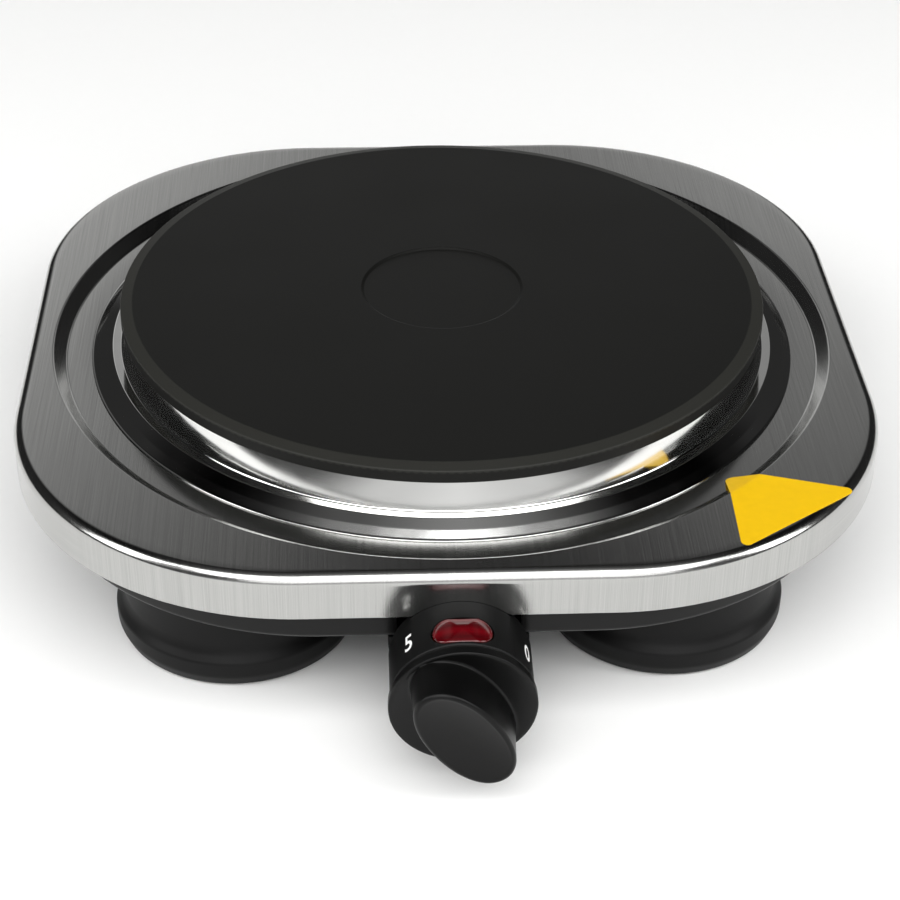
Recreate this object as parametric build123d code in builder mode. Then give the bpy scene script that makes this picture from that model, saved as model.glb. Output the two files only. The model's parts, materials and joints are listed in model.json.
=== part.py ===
from build123d import *
import math
import os

# Single hot plate burner, in millimetres.
# It stands on z = 0, its control knob faces -Y and +Z is up.  The origin lies on the standing
# surface under the centre of the bounding box, so the hot plate's own axis is burner_y behind it.

# ---- Driving dimensions ----
overall_height = 65.0
body_side = 239.0
body_corner = 80.0
pan_side = 226.0
pan_corner = 78.0
plate_radius = 92.5
sheet = 0.8
burner_y = 15.25

# Heights above the standing surface
plate_top = overall_height
plate_rim_bottom = plate_top - 4.6
casting_bottom = plate_top - 13.0
shell_top = plate_top - 13.5
recess_level = plate_top - 16.5
skirt_bottom = plate_top - 26.5
pan_bottom = plate_top - 38.0
pan_rim = skirt_bottom + 4.0

# Hot plate casting
casting_radius = 88.5
bevel_width = 3.4
bevel_drop = 0.8
dimple_radius = 23.0
dimple_depth = 0.5
groove_inner = 32.0
groove_outer = 82.0
groove_rib = 57.0
groove_top = casting_bottom + 5.0
coil_radius = 1.8
stud_radius = 3.0

# Round recess pressed into the shell
recess_radius = 108.0
recess_slope = 5.0
shell_opening = 94.0
ring_radius = 101.7
top_edge_round = 3.0

# Feet
foot_x = 59.0
foot_y = 67.0
foot_radius = 33.5
pad_radius = 31.0
pad_height = 2.5

# Control knob and its bezel: the axis dips towards the front
knob_dip = 4.0
knob_radius = 18.75
knob_rim = 3.0
grip_length = 36.0
grip_width = 18.8
grip_height = 12.2
grip_clock_angle = 146.0
bezel_radius = 18.2
bezel_wall = 2.0
bezel_front = 133.9
bezel_axis_height = 24.2
knob_gap = 0.6
housing_rear = 72.0
shaft_radius = 3.0
running_clearance = 0.05
screw_clearance = 0.1

# Cord inlet at the rear
inlet_x = 24.0
inlet_z = 34.6
inlet_bore = 3.5

os.makedirs("parts", exist_ok=True)

# ---- Shared frames ----
burner_axis = Axis((0, burner_y, 0), (0, 0, 1))
section = Plane(origin=(0, burner_y, 0), x_dir=(1, 0, 0), z_dir=(0, -1, 0))
front_face = burner_y - body_side / 2
pan_front = burner_y - pan_side / 2
pan_rear = burner_y + pan_side / 2
pan_floor = pan_bottom + sheet

dip = math.radians(knob_dip)
knob_out = Vector(0, -math.cos(dip), -math.sin(dip))
knob_up = Vector(0, -math.sin(dip), math.cos(dip))
bezel_centre = Vector(0, burner_y - bezel_front, bezel_axis_height)
knob_axis = Axis(bezel_centre, knob_out)


def level(height):
    """Horizontal plane at a height, centred on the hot plate."""
    return Plane(origin=(0, burner_y, height))


def knob_plane(distance):
    """Plane square to the knob's axis, this far in front of the bezel's front face."""
    return Plane(origin=bezel_centre + knob_out * distance, x_dir=(1, 0, 0), z_dir=knob_out)


def knob_section():
    """Plane through the knob's axis: local x is the radius, local y runs out of the front."""
    return Plane(origin=bezel_centre, x_dir=(1, 0, 0), z_dir=-knob_up)


def save(piece, name):
    """Label one finished piece and write it as its own STEP file."""
    piece.part.label = name
    export_step(piece.part, f"parts/{name}.step")


# ---- Hot plate: a cast-iron disc with coil grooves in its underside ----
with BuildPart() as hot_plate:
    with BuildSketch(section):
        with BuildLine():
            Polyline(
                (0, casting_bottom),
                (0, plate_top - dimple_depth),
                (dimple_radius, plate_top - dimple_depth),
                (dimple_radius + 1, plate_top),
                (plate_radius - bevel_width, plate_top),
                (plate_radius, plate_top - bevel_drop),
                (plate_radius, plate_rim_bottom),
                (casting_radius, plate_rim_bottom),
                (casting_radius, casting_bottom),
                (groove_outer, casting_bottom),
                (groove_outer, groove_top),
                (groove_rib + 1, groove_top),
                (groove_rib + 1, casting_bottom),
                (groove_rib - 1, casting_bottom),
                (groove_rib - 1, groove_top),
                (groove_inner, groove_top),
                (groove_inner, casting_bottom),
                close=True,
            )
        make_face()
    revolve(axis=burner_axis)
    with BuildSketch(level(casting_bottom)):
        Circle(stud_radius + running_clearance)
    extrude(amount=8, mode=Mode.SUBTRACT)
save(hot_plate, "hot_plate")

# Two coil circuits, each wound as two rings, bedded in cement that fills the grooves
coil_height = (casting_bottom + groove_top) / 2
coil_rings = (38.0, 50.0, 64.0, 76.0)

with BuildPart() as heating_coils:
    with BuildSketch(section):
        for ring in coil_rings:
            with Locations((ring, coil_height)):
                Circle(coil_radius)
    revolve(axis=burner_axis)
save(heating_coils, "heating_coils")

with BuildPart() as coil_cement:
    with BuildSketch(section):
        for inner, outer in ((groove_inner, groove_rib - 1), (groove_rib + 1, groove_outer)):
            with Locations(((inner + outer) / 2, coil_height)):
                Rectangle(outer - inner, groove_top - casting_bottom)
        for ring in coil_rings:
            with Locations((ring, coil_height)):
                Circle(coil_radius, mode=Mode.SUBTRACT)
    revolve(axis=burner_axis)
save(coil_cement, "coil_cement")

# Pressed cover under the casting, open round the centre stud and the two coil tails
cover_thickness = 0.6
cover_bottom = casting_bottom - cover_thickness
bush_radius = 4.0
bush_spots = ((-18, -28), (18, -28))

with BuildPart() as plate_cover:
    with BuildSketch(level(cover_bottom)):
        Circle(casting_radius - 0.5)
        Circle(7, mode=Mode.SUBTRACT)
        with Locations(*bush_spots):
            Circle(bush_radius + screw_clearance, mode=Mode.SUBTRACT)
    extrude(amount=cover_thickness)
save(plate_cover, "plate_cover")

# Ceramic bushes that lead the coil tails down to the wiring
bush_bottom = casting_bottom - 6.5
with BuildPart() as terminal_bushes:
    with BuildSketch(level(bush_bottom)):
        with Locations(*bush_spots):
            Circle(bush_radius)
            Circle(1.5, mode=Mode.SUBTRACT)
    extrude(amount=casting_bottom - bush_bottom)
save(terminal_bushes, "terminal_bushes")

# ---- Polished spill ring: flared wall, thin bead, groove, and a broad bead on the recess ----
ring_foot = recess_level
with BuildPart() as trim_ring:
    with BuildSketch(section):
        with BuildLine():
            Polyline((89.2, plate_rim_bottom), (90.0, plate_rim_bottom), (92.2, ring_foot + 4.2))
            ThreePointArc(
                (92.2, ring_foot + 4.2), (94.2, ring_foot + 3.8), (95.8, ring_foot + 2.3)
            )
            ThreePointArc(
                (95.8, ring_foot + 2.3), (99.2, ring_foot + 2.6), (ring_radius, ring_foot)
            )
            Line((ring_radius, ring_foot), (ring_radius - 0.9, ring_foot))
            ThreePointArc(
                (ring_radius - 0.9, ring_foot), (98.8, ring_foot + 1.9), (95.8, ring_foot + 1.6)
            )
            ThreePointArc(
                (95.8, ring_foot + 1.6), (93.9, ring_foot + 3.0), (91.5, ring_foot + 3.4)
            )
            Line((91.5, ring_foot + 3.4), (89.2, plate_rim_bottom))
        make_face()
    revolve(axis=burner_axis)
save(trim_ring, "trim_ring")

# ---- Top shell: pressed sheet with a round recess, a skirt and an opening for the plate ----
with BuildPart() as shell_hollow:
    with BuildSketch(level(skirt_bottom)):
        RectangleRounded(body_side - 2 * sheet, body_side - 2 * sheet, body_corner - sheet)
    extrude(amount=shell_top - sheet - skirt_bottom)
    fillet(shell_hollow.faces().sort_by(Axis.Z)[-1].edges(), top_edge_round - sheet)
    with BuildSketch(section):
        with BuildLine():
            Polyline(
                (0, shell_top),
                (0, recess_level - sheet),
                (recess_radius + 0.3, recess_level - sheet),
                (recess_radius + recess_slope + 0.3, shell_top - sheet),
                (recess_radius + recess_slope + 0.3, shell_top),
                close=True,
            )
        make_face()
    revolve(axis=burner_axis, mode=Mode.SUBTRACT)

with BuildPart() as top_shell:
    with BuildSketch(level(skirt_bottom)):
        RectangleRounded(body_side, body_side, body_corner)
    extrude(amount=shell_top - skirt_bottom)
    fillet(top_shell.faces().sort_by(Axis.Z)[-1].edges(), top_edge_round)
    with BuildSketch(section):
        with BuildLine():
            Polyline(
                (0, shell_top + 1),
                (0, recess_level),
                (recess_radius, recess_level),
                (recess_radius + recess_slope, shell_top),
                (recess_radius + recess_slope, shell_top + 1),
                close=True,
            )
        make_face()
    revolve(axis=burner_axis, mode=Mode.SUBTRACT)
    add(shell_hollow.part, mode=Mode.SUBTRACT)
    with BuildSketch(level(recess_level - sheet)):
        Circle(shell_opening)
    extrude(amount=sheet, mode=Mode.SUBTRACT)
save(top_shell, "top_shell")

# Blank sticker on the front right corner, following the edge of the recess
sticker_thickness = 0.2
with BuildPart() as blank_sticker:
    with BuildSketch(level(recess_level)):
        with BuildLine():
            FilletPolyline((71, -80.5), (99.5, -86), (71.5, -109), radius=3, close=True)
        make_face()
    extrude(amount=shell_top - recess_level + sticker_thickness)
    with BuildSketch(section):
        with BuildLine():
            Polyline(
                (recess_radius - 6, recess_level),
                (recess_radius, recess_level),
                (recess_radius + recess_slope, shell_top),
                (body_side, shell_top),
                (body_side, shell_top + sticker_thickness),
                (recess_radius + recess_slope, shell_top + sticker_thickness),
                (recess_radius, recess_level + sticker_thickness),
                (recess_radius - 6, recess_level + sticker_thickness),
                close=True,
            )
        make_face()
    revolve(axis=burner_axis, mode=Mode.INTERSECT)
save(blank_sticker, "blank_sticker")

# ---- Clamp that pulls the plate down on the ring and the shell ----
bar_top = recess_level - sheet
bar_web = 1.6
bar_half_width = 10.0

with BuildPart() as clamp_bar:
    with BuildSketch(level(bar_top - 6.4)):
        Rectangle(2 * (ring_radius + 1), 2 * bar_half_width)
    extrude(amount=6.4)
    with BuildSketch(level(bar_top - 6.4)):
        Rectangle(2 * (ring_radius + 1), 2 * (bar_half_width - bar_web))
    extrude(amount=6.4 - bar_web, mode=Mode.SUBTRACT)
    with BuildSketch(level(bar_top - bar_web)):
        Circle(stud_radius + screw_clearance)
    extrude(amount=bar_web, mode=Mode.SUBTRACT)
save(clamp_bar, "clamp_bar")

with BuildPart() as centre_stud:
    with BuildSketch(level(casting_bottom - 14)):
        Circle(stud_radius)
    extrude(amount=22)
save(centre_stud, "centre_stud")

with BuildPart() as stud_spacer:
    with BuildSketch(level(bar_top)):
        Circle(6)
        Circle(stud_radius + screw_clearance, mode=Mode.SUBTRACT)
    extrude(amount=casting_bottom - bar_top)
save(stud_spacer, "stud_spacer")

washer_top = bar_top - bar_web
with BuildPart() as stud_washer:
    with BuildSketch(level(washer_top - 1.2)):
        Circle(8)
        Circle(stud_radius + screw_clearance, mode=Mode.SUBTRACT)
    extrude(amount=1.2)
save(stud_washer, "stud_washer")

with BuildPart() as stud_nut:
    with BuildSketch(level(washer_top - 6.2)):
        RegularPolygon(5.0, 6, major_radius=False)
        Circle(stud_radius + running_clearance, mode=Mode.SUBTRACT)
    extrude(amount=5)
save(stud_nut, "stud_nut")

# Aluminised reflector dish between the plate and the wiring
shield_bottom = recess_level - 0.1
with BuildPart() as heat_shield:
    with BuildSketch(section):
        with BuildLine():
            Polyline(
                (6.2, shield_bottom),
                (86, shield_bottom),
                (86, shield_bottom + 1.8),
                (85.5, shield_bottom + 1.8),
                (85.5, shield_bottom + 0.5),
                (6.2, shield_bottom + 0.5),
                close=True,
            )
        make_face()
    revolve(axis=burner_axis)
    with BuildSketch(level(shield_bottom)):
        with Locations(*bush_spots):
            Circle(bush_radius + screw_clearance)
    extrude(amount=0.5, mode=Mode.SUBTRACT)
save(heat_shield, "heat_shield")

# ---- Base pan: a tray inset under the skirt ----
foot_spots = [(x * foot_x, y * foot_y) for x in (-1, 1) for y in (-1, 1)]
bracket_x = ring_radius - 1
bracket_spots = [(x * bracket_x, y * 22) for x in (-1, 1) for y in (-1, 1)]
flange_side = body_side - 2 * sheet - 0.6
housing_screw_spots = ((-22, -90), (22, -90))
thermostat_screw_spots = ((-6, -65), (6, -65))
floor_screw_radius = 2.1
control_opening = 16.0
opening_rear = housing_rear + 4
earth_spot = (10, 56)

with BuildPart() as base_pan:
    with BuildSketch(level(pan_bottom)):
        RectangleRounded(pan_side, pan_side, pan_corner)
    extrude(amount=pan_rim - pan_bottom)
    fillet(base_pan.faces().sort_by(Axis.Z)[0].edges(), 1.6)
    with BuildSketch(level(pan_rim - sheet)):
        RectangleRounded(flange_side, flange_side, body_corner - sheet - 0.3)
    extrude(amount=sheet)
    with BuildSketch(level(pan_floor)):
        RectangleRounded(pan_side - 2 * sheet, pan_side - 2 * sheet, pan_corner - sheet)
    extrude(amount=pan_rim - pan_floor, mode=Mode.SUBTRACT)
    # Opening for the thermostat in the floor and through the front wall
    with BuildSketch(level(pan_bottom)):
        with Locations((0, -(pan_side / 2 + opening_rear) / 2)):
            Rectangle(2 * control_opening, pan_side / 2 - opening_rear + 0.01)
    extrude(amount=11, mode=Mode.SUBTRACT)
    # Screw holes in the floor
    with BuildSketch(level(pan_bottom)):
        with Locations(*foot_spots, *bracket_spots, earth_spot):
            Circle(floor_screw_radius)
        with Locations(*housing_screw_spots, *thermostat_screw_spots):
            Circle(floor_screw_radius)
    extrude(amount=sheet, mode=Mode.SUBTRACT)
    # Cord inlet in the rear wall
    with BuildSketch(Plane(origin=(inlet_x, pan_rear, inlet_z), x_dir=(-1, 0, 0), z_dir=(0, 1, 0))):
        Circle(5.1)
    extrude(amount=-2, mode=Mode.SUBTRACT)
save(base_pan, "base_pan")

# Angle tabs welded under the shell, and the screws that tie the pan to them
tab_top = recess_level - sheet
with BuildPart() as shell_brackets:
    for x, y in bracket_spots:
        side = math.copysign(1, x)
        tab_plane = Plane(
            origin=(x, burner_y + y, 0), x_dir=(side, 0, 0), z_dir=(0, -side, 0)
        )
        with BuildSketch(tab_plane):
            with BuildLine():
                Polyline(
                    (-5, pan_floor),
                    (5, pan_floor),
                    (5, tab_top),
                    (-3, tab_top),
                    (-3, tab_top - 1),
                    (4, tab_top - 1),
                    (4, pan_floor + 1),
                    (-5, pan_floor + 1),
                    close=True,
                )
            make_face()
        extrude(amount=6, both=True)
    with BuildSketch(level(pan_floor)):
        with Locations(*bracket_spots):
            Circle(2.0 + running_clearance)
    extrude(amount=1, mode=Mode.SUBTRACT)
save(shell_brackets, "shell_brackets")

with BuildPart() as shell_screws:
    with BuildSketch(level(pan_bottom - 2)):
        with Locations(*bracket_spots):
            Circle(3.6)
    extrude(amount=2)
    with BuildSketch(level(pan_bottom)):
        with Locations(*bracket_spots):
            Circle(2.0)
    extrude(amount=6)
save(shell_screws, "shell_screws")

# ---- Feet: hollow moulded cups with a rounded lip, each with a rubber pad ----
lip_bottom = 0.8
foot_floor = 5.0
boss_seat = 18.0


def foot_plane(x, y):
    """Vertical section plane through one foot's axis."""
    return Plane(origin=(x, burner_y + y, 0), x_dir=(1, 0, 0), z_dir=(0, -1, 0))


for front_rear, y in (("front", -foot_y), ("rear", foot_y)):
    for left_right, x in (("left", -foot_x), ("right", foot_x)):
        foot_axis = Axis((x, burner_y + y, 0), (0, 0, 1))
        with BuildPart() as foot:
            with BuildSketch(foot_plane(x, y)):
                with BuildLine():
                    Line((2.1, boss_seat), (2.1, pan_bottom))
                    Line((2.1, pan_bottom), (7, pan_bottom))
                    Line((7, pan_bottom), (7, foot_floor))
                    Line((7, foot_floor), (28, foot_floor))
                    Line((28, foot_floor), (28, pan_bottom))
                    Line((28, pan_bottom), (31.5, pan_bottom))
                    ThreePointArc((31.5, pan_bottom), (30.9, 17), (foot_radius - 0.8, 9.0))
                    ThreePointArc((foot_radius - 0.8, 9.0), (foot_radius, 5.5), (32.2, lip_bottom))
                    Line((32.2, lip_bottom), (pad_radius + 0.2, lip_bottom))
                    Line((pad_radius + 0.2, lip_bottom), (pad_radius + 0.2, pad_height))
                    Line((pad_radius + 0.2, pad_height), (4.6, pad_height))
                    Line((4.6, pad_height), (4.6, boss_seat))
                    Line((4.6, boss_seat), (2.1, boss_seat))
                make_face()
            revolve(axis=foot_axis)
        save(foot, f"foot_{front_rear}_{left_right}")

with BuildPart() as foot_pads:
    with BuildSketch(level(0)):
        with Locations(*foot_spots):
            Circle(pad_radius)
    extrude(amount=pad_height)
    chamfer(foot_pads.faces().group_by(Axis.Z)[0].edges(), 0.5)
save(foot_pads, "foot_pads")

with BuildPart() as foot_screws:
    with BuildSketch(level(boss_seat - 2.4)):
        with Locations(*foot_spots):
            Circle(4)
    extrude(amount=2.4)
    with BuildSketch(level(boss_seat)):
        with Locations(*foot_spots):
            Circle(2)
    extrude(amount=pan_floor + 5 - boss_seat)
save(foot_screws, "foot_screws")

with BuildPart() as foot_nuts:
    with BuildSketch(level(pan_floor)):
        with Locations(*foot_spots):
            RegularPolygon(3.5, 6, major_radius=False)
            Circle(2 + running_clearance, mode=Mode.SUBTRACT)
    extrude(amount=3.2)
save(foot_nuts, "foot_nuts")

# ---- Control bezel: a round housing whose rear meets the pan and tucks under the skirt ----
front_wall = 2.5
post_x = 11.0
post_rear = -21.0
screw_spots = ((-post_x, 0), (post_x, 0))
lens_length = 15.5
lens_width = 8.4
lens_centre = -5.4
lens_plane = Plane(
    origin=bezel_centre + knob_out * lens_centre + knob_up * 13, x_dir=(1, 0, 0), z_dir=knob_up
)

with BuildPart() as control_bezel:
    with BuildSketch(knob_plane(-30)):
        Circle(bezel_radius)
    extrude(amount=30)
    fillet(control_bezel.faces().sort_by(knob_axis)[-1].edges(), 0.8)
    with BuildSketch(knob_plane(-30)):
        Circle(bezel_radius - bezel_wall)
    extrude(amount=30 - front_wall, mode=Mode.SUBTRACT)
    with BuildSketch(knob_plane(post_rear)):
        with Locations(*screw_spots):
            Circle(3)
    extrude(amount=-post_rear - front_wall)
    with BuildSketch(knob_plane(post_rear)):
        with Locations(*screw_spots):
            Circle(1.5 + screw_clearance)
    extrude(amount=9, mode=Mode.SUBTRACT)
    with BuildSketch(knob_plane(-front_wall)):
        Circle(shaft_radius + 0.6)
    extrude(amount=front_wall, mode=Mode.SUBTRACT)
    # Window for the lens
    with BuildSketch(lens_plane):
        SlotOverall(lens_length + 0.2, lens_width + 0.2)
    extrude(amount=8, mode=Mode.SUBTRACT)
    # Flat rear against the pan, and a step that clears the skirt
    with BuildSketch(Plane(origin=(0, pan_front, 0), x_dir=(-1, 0, 0), z_dir=(0, 1, 0))):
        Rectangle(80, 160)
    extrude(amount=40, mode=Mode.SUBTRACT)
    with BuildSketch(Plane(origin=(0, front_face - 0.1, skirt_bottom - 0.3), z_dir=(0, 0, 1))):
        Rectangle(80, 40, align=(Align.CENTER, Align.MIN))
    extrude(amount=20, mode=Mode.SUBTRACT)
save(control_bezel, "control_bezel")

with BuildPart() as indicator_lens:
    with BuildSketch(lens_plane):
        SlotOverall(lens_length, lens_width)
    extrude(amount=8)
    with BuildSketch(knob_plane(-12)):
        Circle(bezel_radius + 0.35)
    extrude(amount=13, mode=Mode.INTERSECT)
    with BuildSketch(knob_plane(-12)):
        Circle(bezel_radius - bezel_wall - 0.4)
    extrude(amount=13, mode=Mode.SUBTRACT)
save(indicator_lens, "indicator_lens")

lamp_lift = 12.6
with BuildPart() as neon_lamp:
    with BuildSketch(knob_plane(-14)):
        with Locations((0, lamp_lift)):
            Circle(2.4)
    extrude(amount=10)
    fillet(neon_lamp.faces().sort_by(knob_axis)[-1].edges(), 2.0)
save(neon_lamp, "neon_lamp")

# ---- Housing under the pan that carries the bezel's round shape back over the thermostat ----
housing_axis_height = bezel_axis_height + (bezel_front - pan_side / 2) * math.tan(dip)
housing_length = pan_side / 2 - housing_rear - 0.1
flange_thickness = 1.6
housing_plane = Plane(
    origin=(0, burner_y - housing_rear, housing_axis_height), x_dir=(1, 0, 0), z_dir=(0, -1, 0)
)

with BuildPart() as control_housing:
    with BuildSketch(housing_plane):
        Circle(bezel_radius)
    extrude(amount=housing_length)
    with BuildSketch(level(pan_bottom - flange_thickness)):
        with Locations((0, -90)):
            RectangleRounded(56, 30, 5)
    extrude(amount=flange_thickness)
    with BuildSketch(housing_plane.offset(bezel_wall)):
        Circle(bezel_radius - bezel_wall)
    extrude(amount=housing_length, mode=Mode.SUBTRACT)
    with BuildSketch(level(pan_bottom)):
        with Locations((0, -90)):
            Rectangle(80, 80)
    extrude(amount=30, mode=Mode.SUBTRACT)
    with BuildSketch(level(pan_bottom - flange_thickness)):
        with Locations(*housing_screw_spots):
            Circle(2.1)
    extrude(amount=flange_thickness, mode=Mode.SUBTRACT)
save(control_housing, "control_housing")

with BuildPart() as housing_screws:
    with BuildSketch(level(pan_bottom - flange_thickness - 2)):
        with Locations(*housing_screw_spots):
            Circle(3.6)
    extrude(amount=2)
    with BuildSketch(level(pan_bottom - flange_thickness)):
        with Locations(*housing_screw_spots):
            Circle(2.0)
    extrude(amount=flange_thickness + 4)
save(housing_screws, "housing_screws")

# ---- Thermostat: bracket, bearing bush, nut, ceramic body, bimetal blade and tabs ----
leg_front = post_rear - 0.2
leg_rear = leg_front - 1.2
bridge_bottom = 36.2
bracket_rear = 70.8
bush_bearing_radius = 5.0

with BuildPart() as thermostat_bracket:
    with BuildSketch(knob_plane(leg_rear)):
        with Locations((0, 1.0)):
            Rectangle(18, 20.5)
        Rectangle(28, 8)
    extrude(amount=1.2)
    with BuildSketch(level(bridge_bottom)):
        with Locations((0, -113.2)):
            Rectangle(18, 113.2 - bracket_rear, align=(Align.CENTER, Align.MIN))
    extrude(amount=1.2)
    with BuildSketch(level(pan_floor)):
        with Locations((0, -bracket_rear)):
            Rectangle(18, 1.2, align=(Align.CENTER, Align.MAX))
    extrude(amount=bridge_bottom - pan_floor)
    with BuildSketch(level(pan_floor)):
        with Locations((0, -bracket_rear - 1.2)):
            Rectangle(18, 12, align=(Align.CENTER, Align.MIN))
    extrude(amount=1.2)
    with BuildSketch(knob_plane(leg_rear)):
        Circle(bush_bearing_radius + screw_clearance)
        with Locations(*screw_spots):
            Circle(1.5 + screw_clearance)
    extrude(amount=1.2, mode=Mode.SUBTRACT)
    with BuildSketch(level(pan_floor)):
        with Locations(*thermostat_screw_spots):
            Circle(1.5 + screw_clearance)
    extrude(amount=1.2, mode=Mode.SUBTRACT)
save(thermostat_bracket, "thermostat_bracket")

with BuildPart() as bracket_screws:
    with BuildSketch(level(pan_bottom - 1.6)):
        with Locations(*thermostat_screw_spots):
            Circle(2.8)
    extrude(amount=1.6)
    with BuildSketch(level(pan_bottom)):
        with Locations(*thermostat_screw_spots):
            Circle(1.5)
    extrude(amount=5)
save(bracket_screws, "bracket_screws")

with BuildPart() as bezel_screws:
    with BuildSketch(knob_plane(leg_rear)):
        with Locations(*screw_spots):
            Circle(2.6)
    extrude(amount=-1.8)
    with BuildSketch(knob_plane(leg_rear)):
        with Locations(*screw_spots):
            Circle(1.5)
    extrude(amount=9)
save(bezel_screws, "bezel_screws")

bush_front = -14.0
with BuildPart() as thermostat_bush:
    with BuildSketch(knob_plane(leg_rear - 2)):
        Circle(7.5)
    extrude(amount=2)
    with BuildSketch(knob_plane(leg_rear)):
        Circle(bush_bearing_radius)
    extrude(amount=bush_front - leg_rear)
    with BuildSketch(knob_plane(leg_rear - 2)):
        Circle(shaft_radius + running_clearance)
    extrude(amount=bush_front - leg_rear + 2, mode=Mode.SUBTRACT)
save(thermostat_bush, "thermostat_bush")

with BuildPart() as thermostat_nut:
    with BuildSketch(knob_plane(leg_front)):
        RegularPolygon(6.5, 6, major_radius=False)
        Circle(bush_bearing_radius + running_clearance, mode=Mode.SUBTRACT)
    extrude(amount=3)
save(thermostat_nut, "thermostat_nut")

block_front = leg_rear - 3.6
block_rear = block_front - 20
block_half_width = 11.0
block_low = -11.5
block_high = 7.5
shaft_rear = block_front - 12
with BuildPart() as thermostat_body:
    with BuildSketch(knob_plane(block_rear)):
        with Locations((0, (block_low + block_high) / 2)):
            RectangleRounded(2 * block_half_width, block_high - block_low, 1.5)
    extrude(amount=block_front - block_rear)
    with BuildSketch(knob_plane(block_front)):
        Circle(5)
    extrude(amount=leg_rear - 2 - block_front)
    with BuildSketch(knob_plane(shaft_rear - 1)):
        Circle(shaft_radius + 0.4)
    extrude(amount=leg_rear - 2 - shaft_rear + 1, mode=Mode.SUBTRACT)
save(thermostat_body, "thermostat_body")

with BuildPart() as thermostat_blade:
    with BuildSketch(knob_plane(block_rear)):
        with Locations((0, -2)):
            RectangleRounded(8, 16, 2)
    extrude(amount=-0.6)
save(thermostat_blade, "thermostat_blade")

tab_length = 6.0
with BuildPart() as thermostat_tabs:
    with BuildSketch(level(32.6)):
        for side in (-1, 1):
            with Locations((side * (block_half_width + tab_length / 2), -95)):
                Rectangle(tab_length, 6)
    extrude(amount=0.8)
save(thermostat_tabs, "thermostat_tabs")

# ---- What turns: D shaft, spring clip and knob ----
shaft_front = 9.0
flat_height = 1.9
with BuildPart() as thermostat_shaft:
    with BuildSketch(knob_plane(shaft_rear)):
        Circle(shaft_radius)
    extrude(amount=shaft_front - shaft_rear)
    with BuildSketch(knob_plane(0)):
        with Locations((0, flat_height)):
            Rectangle(8, 4, align=(Align.CENTER, Align.MIN))
    extrude(amount=shaft_front, mode=Mode.SUBTRACT)
save(thermostat_shaft, "thermostat_shaft")

with BuildPart() as knob_clip:
    with BuildSketch(knob_plane(2)):
        with Locations((0, flat_height)):
            Rectangle(3.6, 0.5, align=(Align.CENTER, Align.MIN))
    extrude(amount=6)
save(knob_clip, "knob_clip")

grip_end = knob_rim + knob_gap + grip_height - 0.6
grip_angle = 90 - grip_clock_angle
with BuildPart() as knob:
    with BuildSketch(knob_section()):
        with BuildLine():
            Polyline((0, 2.8), (0, knob_gap), (knob_radius - 0.8, knob_gap))
            ThreePointArc(
                (knob_radius - 0.8, knob_gap),
                (knob_radius, knob_gap + knob_rim / 2),
                (knob_radius - 0.9, knob_gap + knob_rim),
            )
            ThreePointArc((knob_radius - 0.9, knob_gap + knob_rim), (12, 2.9), (0, 2.8))
        make_face()
    revolve(axis=knob_axis)
    with BuildSketch(knob_plane(1.5)):
        Ellipse(grip_length / 2 + 0.3, grip_width / 2 + 0.4, rotation=grip_angle)
    with BuildSketch(knob_plane(grip_end)):
        Ellipse(grip_length / 2 - 0.5, grip_width / 2 - 0.2, rotation=grip_angle)
    loft()
    # Shallow dish in the end of the grip
    with BuildSketch(knob_section()):
        with BuildLine():
            ThreePointArc((0, grip_end - 1.3), (10, grip_end - 0.9), (19, grip_end + 0.1))
            Polyline((19, grip_end + 0.1), (19, grip_end + 5), (0, grip_end + 5), (0, grip_end - 1.3))
        make_face()
    revolve(axis=knob_axis, mode=Mode.SUBTRACT)
    with BuildSketch(knob_plane(0)):
        Circle(shaft_radius + running_clearance)
    extrude(amount=shaft_front + 0.4, mode=Mode.SUBTRACT)
save(knob, "knob")

# ---- Mains side: inlet gland, terminal block, earth point, thermal fuse ----
inlet = Plane(origin=(inlet_x, pan_rear, inlet_z), x_dir=(-1, 0, 0), z_dir=(0, 1, 0))
gland_outside = 5.2
gland_inside = 8.0

with BuildPart() as cord_gland:
    with BuildSketch(inlet):
        Circle(6.7)
    extrude(amount=gland_outside)
    fillet(cord_gland.faces().sort_by(Axis.Y)[-1].edges(), 1.2)
    with BuildSketch(inlet.offset(-gland_inside)):
        Circle(5)
    extrude(amount=gland_inside)
    with BuildSketch(inlet.offset(-gland_inside)):
        Circle(inlet_bore)
    extrude(amount=gland_inside + gland_outside, mode=Mode.SUBTRACT)
save(cord_gland, "cord_gland")

with BuildPart() as gland_nut:
    with BuildSketch(inlet.offset(-sheet - 4)):
        RegularPolygon(6.6, 6, major_radius=False)
        Circle(5 + running_clearance, mode=Mode.SUBTRACT)
    extrude(amount=4)
save(gland_nut, "gland_nut")

pole_pitch = 10.0
block_x = 42.0
block_y = 84.0
block_depth = 14.0
block_height = 13.0
poles = [(block_x + i * pole_pitch, block_y) for i in (-1, 0, 1)]
wire_height = 34.0

with BuildPart() as terminal_block:
    with BuildSketch(level(pan_floor)):
        with Locations((block_x, block_y)):
            RectangleRounded(3 * pole_pitch + 2, block_depth, 2)
    extrude(amount=block_height)
    with BuildSketch(level(pan_floor + block_height)):
        for x, y in poles:
            with Locations((x, y - 3.5), (x, y + 3.5)):
                Circle(1.6 + screw_clearance)
    extrude(amount=-4, mode=Mode.SUBTRACT)
save(terminal_block, "terminal_block")

with BuildPart() as terminal_screws:
    with BuildSketch(level(pan_floor + block_height - 4)):
        for x, y in poles:
            with Locations((x, y - 3.5), (x, y + 3.5)):
                Circle(1.6)
    extrude(amount=3.2)
save(terminal_screws, "terminal_screws")

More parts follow.
